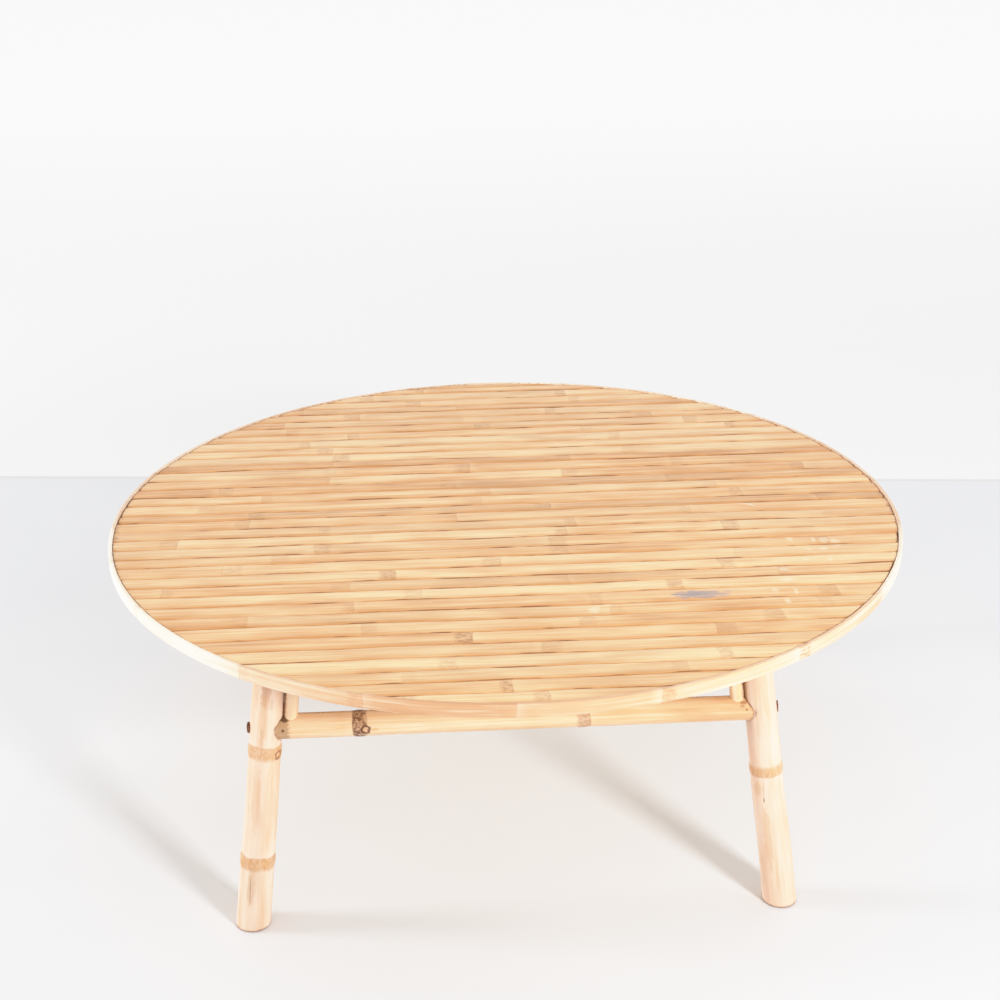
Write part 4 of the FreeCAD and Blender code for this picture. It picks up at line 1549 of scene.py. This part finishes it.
@dataclass
class Studio:
    """A plain pale floor that turns into a paler wall, and soft light.

    The light is a broad sky, a key from the front right and a fill from the left. The seam of the wall is
    where the photograph shows it, as (x, y) of one point and the turn of its line.
    """

    floor_size: float = 30.0
    floor_colour: str = "#E8E9EC"
    floor_shade: str = "#E2E3E6"
    floor_cloud: tuple[float, float] = (0.6, 0.4)
    backdrop_colour: str = "#F7F7F7"
    backdrop_glow: float = 0.3
    glow_reach: tuple[float, float] = (-0.1, 4.5)
    seam_colour: str = "#DAD6D2"
    seam_start: tuple[float, float] = (-0.896, 1.146)
    seam_turn: float = math.radians(-5.65)
    sky_front: float = 0.5
    sky_back: float = 1.3
    sky_top: float = 0.75
    key: Lamp = Lamp((1.67, -2.68, 1.35), 87.0, 0.5)
    fill: Lamp = Lamp((-4.3, 0.1, 0.95), 138.0, 1.0)
    lamp_aim: tuple[float, float, float] = (0, 0, 0.25)
    tone_limit: float = 1.6
    tone_points: tuple[tuple[float, float], ...] = (
        (0.6, 0.6), (0.70, 0.70), (0.85, 0.83), (1.0, 0.915), (1.15, 0.96), (1.3, 0.982), (1.6, 0.998))

    def floor(self) -> None:
        """Lay the floor: a large plane with a faint unevenness of tone, and beyond the seam the wall's colour."""
        size = self.floor_size
        mesh = bpy.data.meshes.new("studio_floor")
        mesh.from_pydata([(-size, -size, 0), (size, -size, 0), (size, size, 0), (-size, size, 0)], [], [(0, 1, 2, 3)])
        floor = bpy.data.objects.new("studio_floor", mesh)
        bpy.context.scene.collection.objects.link(floor)
        graph = Graph(bpy.data.materials.new("painted_concrete_floor"))
        place = graph.add("TexCoord", take="Object")
        moved = graph.add("VectorMath", (place, (*self.seam_start, 0.0)), operation="SUBTRACT")
        beyond = graph.add("Mapping", {0: moved, 2: (0.0, 0.0, -self.seam_turn)}).parts()[1]
        colour = graph.paint(
            self.floor_shade, (graph.fibres(place, *self.floor_cloud), self.floor_colour),
            (beyond.rise(-3 * MM, 3 * MM), self.backdrop_colour),
            (abs(beyond).rise(9 * MM, 3 * MM, 0.6), self.seam_colour))
        mesh.materials.append(graph.surface({
            "Base Color": colour, "Roughness": 0.7, "Emission Color": "#FFFFFF",
            "Emission Strength": beyond.rise(*self.glow_reach, self.backdrop_glow)}))

    def hang(self, name: str, lamp: Lamp) -> None:
        """Hang one lamp that looks at the table.

        Args:
            name: Name of the lamp.
            lamp: What it is like.
        """
        data = bpy.data.lights.new(name, "AREA")
        data.energy, data.size = lamp.power, lamp.width
        light = bpy.data.objects.new(name, data)
        light.location = lamp.place
        light.rotation_euler = (Vector(self.lamp_aim) - Vector(lamp.place)).to_track_quat("-Z", "Y").to_euler()
        light.visible_camera = light.visible_glossy = False
        bpy.context.scene.collection.objects.link(light)

    def sky(self) -> None:
        """Set up the sky: brighter at the back than at the front, and even overhead."""
        world = bpy.data.worlds.new("studio_sky")
        bpy.context.scene.world = world
        graph = Graph(world)
        _, along, height = graph.add("TexCoord", take="Generated").parts()
        level = graph.add("MapRange", (along, -0.8, 0.8, self.sky_front, self.sky_back),
                          interpolation_type="SMOOTHSTEP")
        strength = graph.add("Mix", {0: height.rise(0.35, 0.95), 2: level, 3: self.sky_top})
        graph.add("OutputWorld", (graph.add("Background", {"Color": "#FFFFFF", "Strength": strength}),))

    def tone(self) -> None:
        """Set a bright print's tone curve: straight up to the middle, and a soft shoulder that holds the whites."""
        view = bpy.context.scene.view_settings
        view.view_transform, view.look, view.use_curve_mapping = "Standard", "None", True
        curve = view.curve_mapping
        curve.white_level = (self.tone_limit,) * 3
        points = curve.curves[3].points
        points[-1].location = (1.0, self.tone_points[-1][1])
        for light, shown in self.tone_points[:-1]:
            points.new(light / self.tone_limit, shown)
        curve.update()

    def build(self) -> None:
        """Set up the floor, the sky, the lamps and the tone curve."""
        self.floor()
        self.sky()
        self.hang("key_lamp", self.key)
        self.hang("fill_lamp", self.fill)
        self.tone()
        log.info("studio: floor, sky and two lamps")


@dataclass
class PhotoCamera:
    """The camera at the photograph's place: a little left of the middle, looking 23 degrees down."""

    place: tuple[float, float, float] = (-0.105, -2.004, 1.257)
    heading: float = math.radians(2.83)
    pitch: float = math.radians(23.05)
    roll: float = math.radians(-0.89)
    sensor: float = 36.0
    focal_share: float = 1.7  # focal length as a share of the picture's width
    clip: tuple[float, float] = (0.05, 100.0)

    def build(self) -> None:
        """Make the camera: turned by its heading, then tipped down, then rolled."""
        data = bpy.data.cameras.new("photo_camera")
        data.sensor_fit = "HORIZONTAL"
        data.sensor_width = self.sensor
        data.lens = self.focal_share * self.sensor
        data.clip_start, data.clip_end = self.clip
        camera = bpy.data.objects.new("photo_camera", data)
        turn = Matrix.Rotation(-self.heading, 4, "Z") @ Matrix.Rotation(math.pi / 2 - self.pitch, 4, "X")
        camera.matrix_world = Matrix.Translation(self.place) @ turn @ Matrix.Rotation(self.roll, 4, "Z")
        bpy.context.scene.collection.objects.link(camera)
        bpy.context.scene.camera = camera
        log.info("camera: %.1f mm lens", data.lens)


# Finishes

# The slats' finish paints shade on the sloping long edges of each slat, the front one most.
SLAT_FINISH = TabletopFinish(
    name="split_bamboo_sanded_oiled", cream="#FAD3A4", honey="#E8B27C", brown="#BF834A", grey="#CDB088",
    mark="#BF9263", ring="#7E5433", cut_end="#D9A973", gold="#DE9C56", dirt_and_shade="#7E4A1E", roughness=0.4, edge_shade_share=0.5,
    mottle=(0.52, 0.46),
    stains_and_shades=(
        StainOrShade((212, -263, 0), (38, 12, ANY_MM), "#8E8B96", 0.62),
        StainOrShade((200, -260, 0), (24, 7, ANY_MM), "#85838F", 0.5),
        StainOrShade((317, -10, 0), (9, 1.4, ANY_MM), "#FFF0DA", 0.7, math.radians(-39)),
    ),
    rubbed_places=(
        (344, -121, 4.5, 9), (372, -124, 3.5, 9), (385, -127, 7, 10), (398, -135, 7, 15), (319, -205, 8, 6),
        (316, -232, 10, 6), (298, -260, 5, 8), (321, -264, 3, 9), (85, -293, 8, 11),
        (379, -152, 6, 5), (361, -152, 4, 3), (351, -180, 4, 5), (380, -182, 3, 7), (397, -233, 6, 4),
        (306, -289, 4, 9)))
# The band's near-white cream, with its pale stretches, paints the fill lamp's light on the band's left.
BAND_FINISH = BambooFinish(
    name="bent_bamboo_strip_scraped", cream="#FFF0DC", honey="#DCAB84", brown="#C08654", grey="#DCC6AC",
    mark="#CB9468", ring="#A0693F", cut_end="#D9A973", gold="#DDA874", dirt_and_shade="#8A5E38", thread=0.2,
    turnover=38 * MM, onset=4.5 * MM, mark_share=0.62, mottle=(0.16, 0.14), tinge_share=0.25)
LEG_FINISH = BambooFinish(
    name="bamboo_culm_scraped_sanded", cream="#F0D2C0", honey="#E2B698", brown="#BD8962", grey="#D3BAA4",
    mark="#BE863C", ring="#80543A", cut_end="#B98453", gold="#D8A67C", roughness=0.45, ring_width=0.9 * MM,
    mark_share=1.0, thread=0.06, patchiness=0.25, ring_share=0.2, waver=(5 * MM, 15 * MM), streak=(150 * MM, 9 * MM),
    mottle=(0.3, 0.34), tinge=(95 * MM, 7 * MM), tinge_share=0.45,
    stains_and_shades=(
        StainOrShade((315, -1.6, -17.4), (24, 6, 6), "#CE9468", 0.5),
        StainOrShade((280, -2.8, -17.6), (38, 5, 5), "#CFA477", 0.4),
        StainOrShade((299, 5.8, -16.7), (8, 3, 3), "#B09A78", 0.3),
        StainOrShade((252, -3.6, -17.8), (18, 3, 3), "#C79C70", 0.4),
        StainOrShade((170, -5.6, -17.9), (48, 6, 6), "#CDA27A", 0.35),
        StainOrShade((60, -5.0, -19.2), (28, 5, 5), "#C09B72", 0.35),
        StainOrShade((57, -5.7, -19.1), (21, 0.6, 5), "#6A5638", 0.6, math.radians(-2.6)),
        StainOrShade((2162, -13.9, -12.9), (11, 6, 6), "#C4A67E", 0.4),
        StainOrShade((2155, -8.2, -17.2), (18, 0.8, 5), "#A07C54", 0.3, math.radians(3.0)),
        StainOrShade((2148.5, -8.5, -17.1), (5, 1.2, 4), "#6E5638", 0.55),
        StainOrShade((2095, -9.0, -17.0), (55, 5, 5), "#C99E74", 0.4),
        # painted shade on the front right leg's inner side above the bar, by the crevice at its post
        StainOrShade((2290, -17.6, -2.5), (36, 5, 7), "#A8743C", 0.7),
    ))
BAR_FINISH = BambooFinish(
    name="bamboo_rail_scraped_oiled", cream="#F6D6BA", honey="#E6B88E", brown="#BB804E", grey="#D5B38C",
    mark="#784A2A", ring="#5E3620", cut_end="#F0D6B0", gold="#DAA56A", dirt_and_shade="#6E421E", mark_share=1.1,
    thread=0.2, patchiness=0.4, ring_share=0.5, fleck=(3.4 * MM, 2 * MM),
    stains_and_shades=(
        StainOrShade((10012, 0, 0), (9.5, 90, 90), "#9C7A54", 0.72),
        # painted shadow on the top of the front bar's left end, where it meets the leg
        StainOrShade((10014.5, 6.0, -13.0), (5, 6, 5), "#4A2A1A", 0.85),
        StainOrShade((10012.6, 14.4, -1.8), (2, 2, 2), "#5A3A20", 0.9),
        StainOrShade((10541.7, 8.9, -11.4), (4, 3, 3), "#8A5F42", 0.6),
        StainOrShade((10540.2, 11.8, -8.4), (3.4, 2.4, 2), "#8E6546", 0.55),
        StainOrShade((10544.8, 13.7, -4.7), (1.6, 1.6, 1.6), "#9A7048", 0.8),
        StainOrShade((10117.3, 14.5, 0.8), (5, 3, 3), "#D09A58", 0.5),
    ))
PLY_FINISH = BoardFinish("birch_plywood_sanded", "#E4D2B4", "#D2BA94", Grain.ALONG_X, 9 * MM)
LONG_BATTEN_FINISH = BoardFinish("pine_batten_planed_long", "#DEC8A6", "#CBAE86", Grain.ALONG_X, 4 * MM)
CROSS_BATTEN_FINISH = BoardFinish("pine_batten_planed_cross", "#DEC8A6", "#CBAE86", Grain.ALONG_Y, 4 * MM)


def main() -> None:
    """Build the table's pieces in order, then the studio and the camera."""
    logging.basicConfig(level=logging.INFO, format="%(name)s: %(message)s")
    PhotoCamera().build()
    SlatTop().build(SLAT_FINISH.material())
    RimBand().build(BAND_FINISH.material())
    LegFrames().build(LEG_FINISH.material(), BAR_FINISH.material(), PegFinish().material())
    dress(PLY_FINISH.material(), "backing_disc")
    dress(LONG_BATTEN_FINISH.material(), "front_stop_batten", "back_stop_batten")
    dress(CROSS_BATTEN_FINISH.material(), "left_cross_batten", "right_cross_batten")
    dress(ScrewFinish().material(), "batten_screws", "hanger_screws")
    Studio().build()


if __name__ == "__main__":
    main()
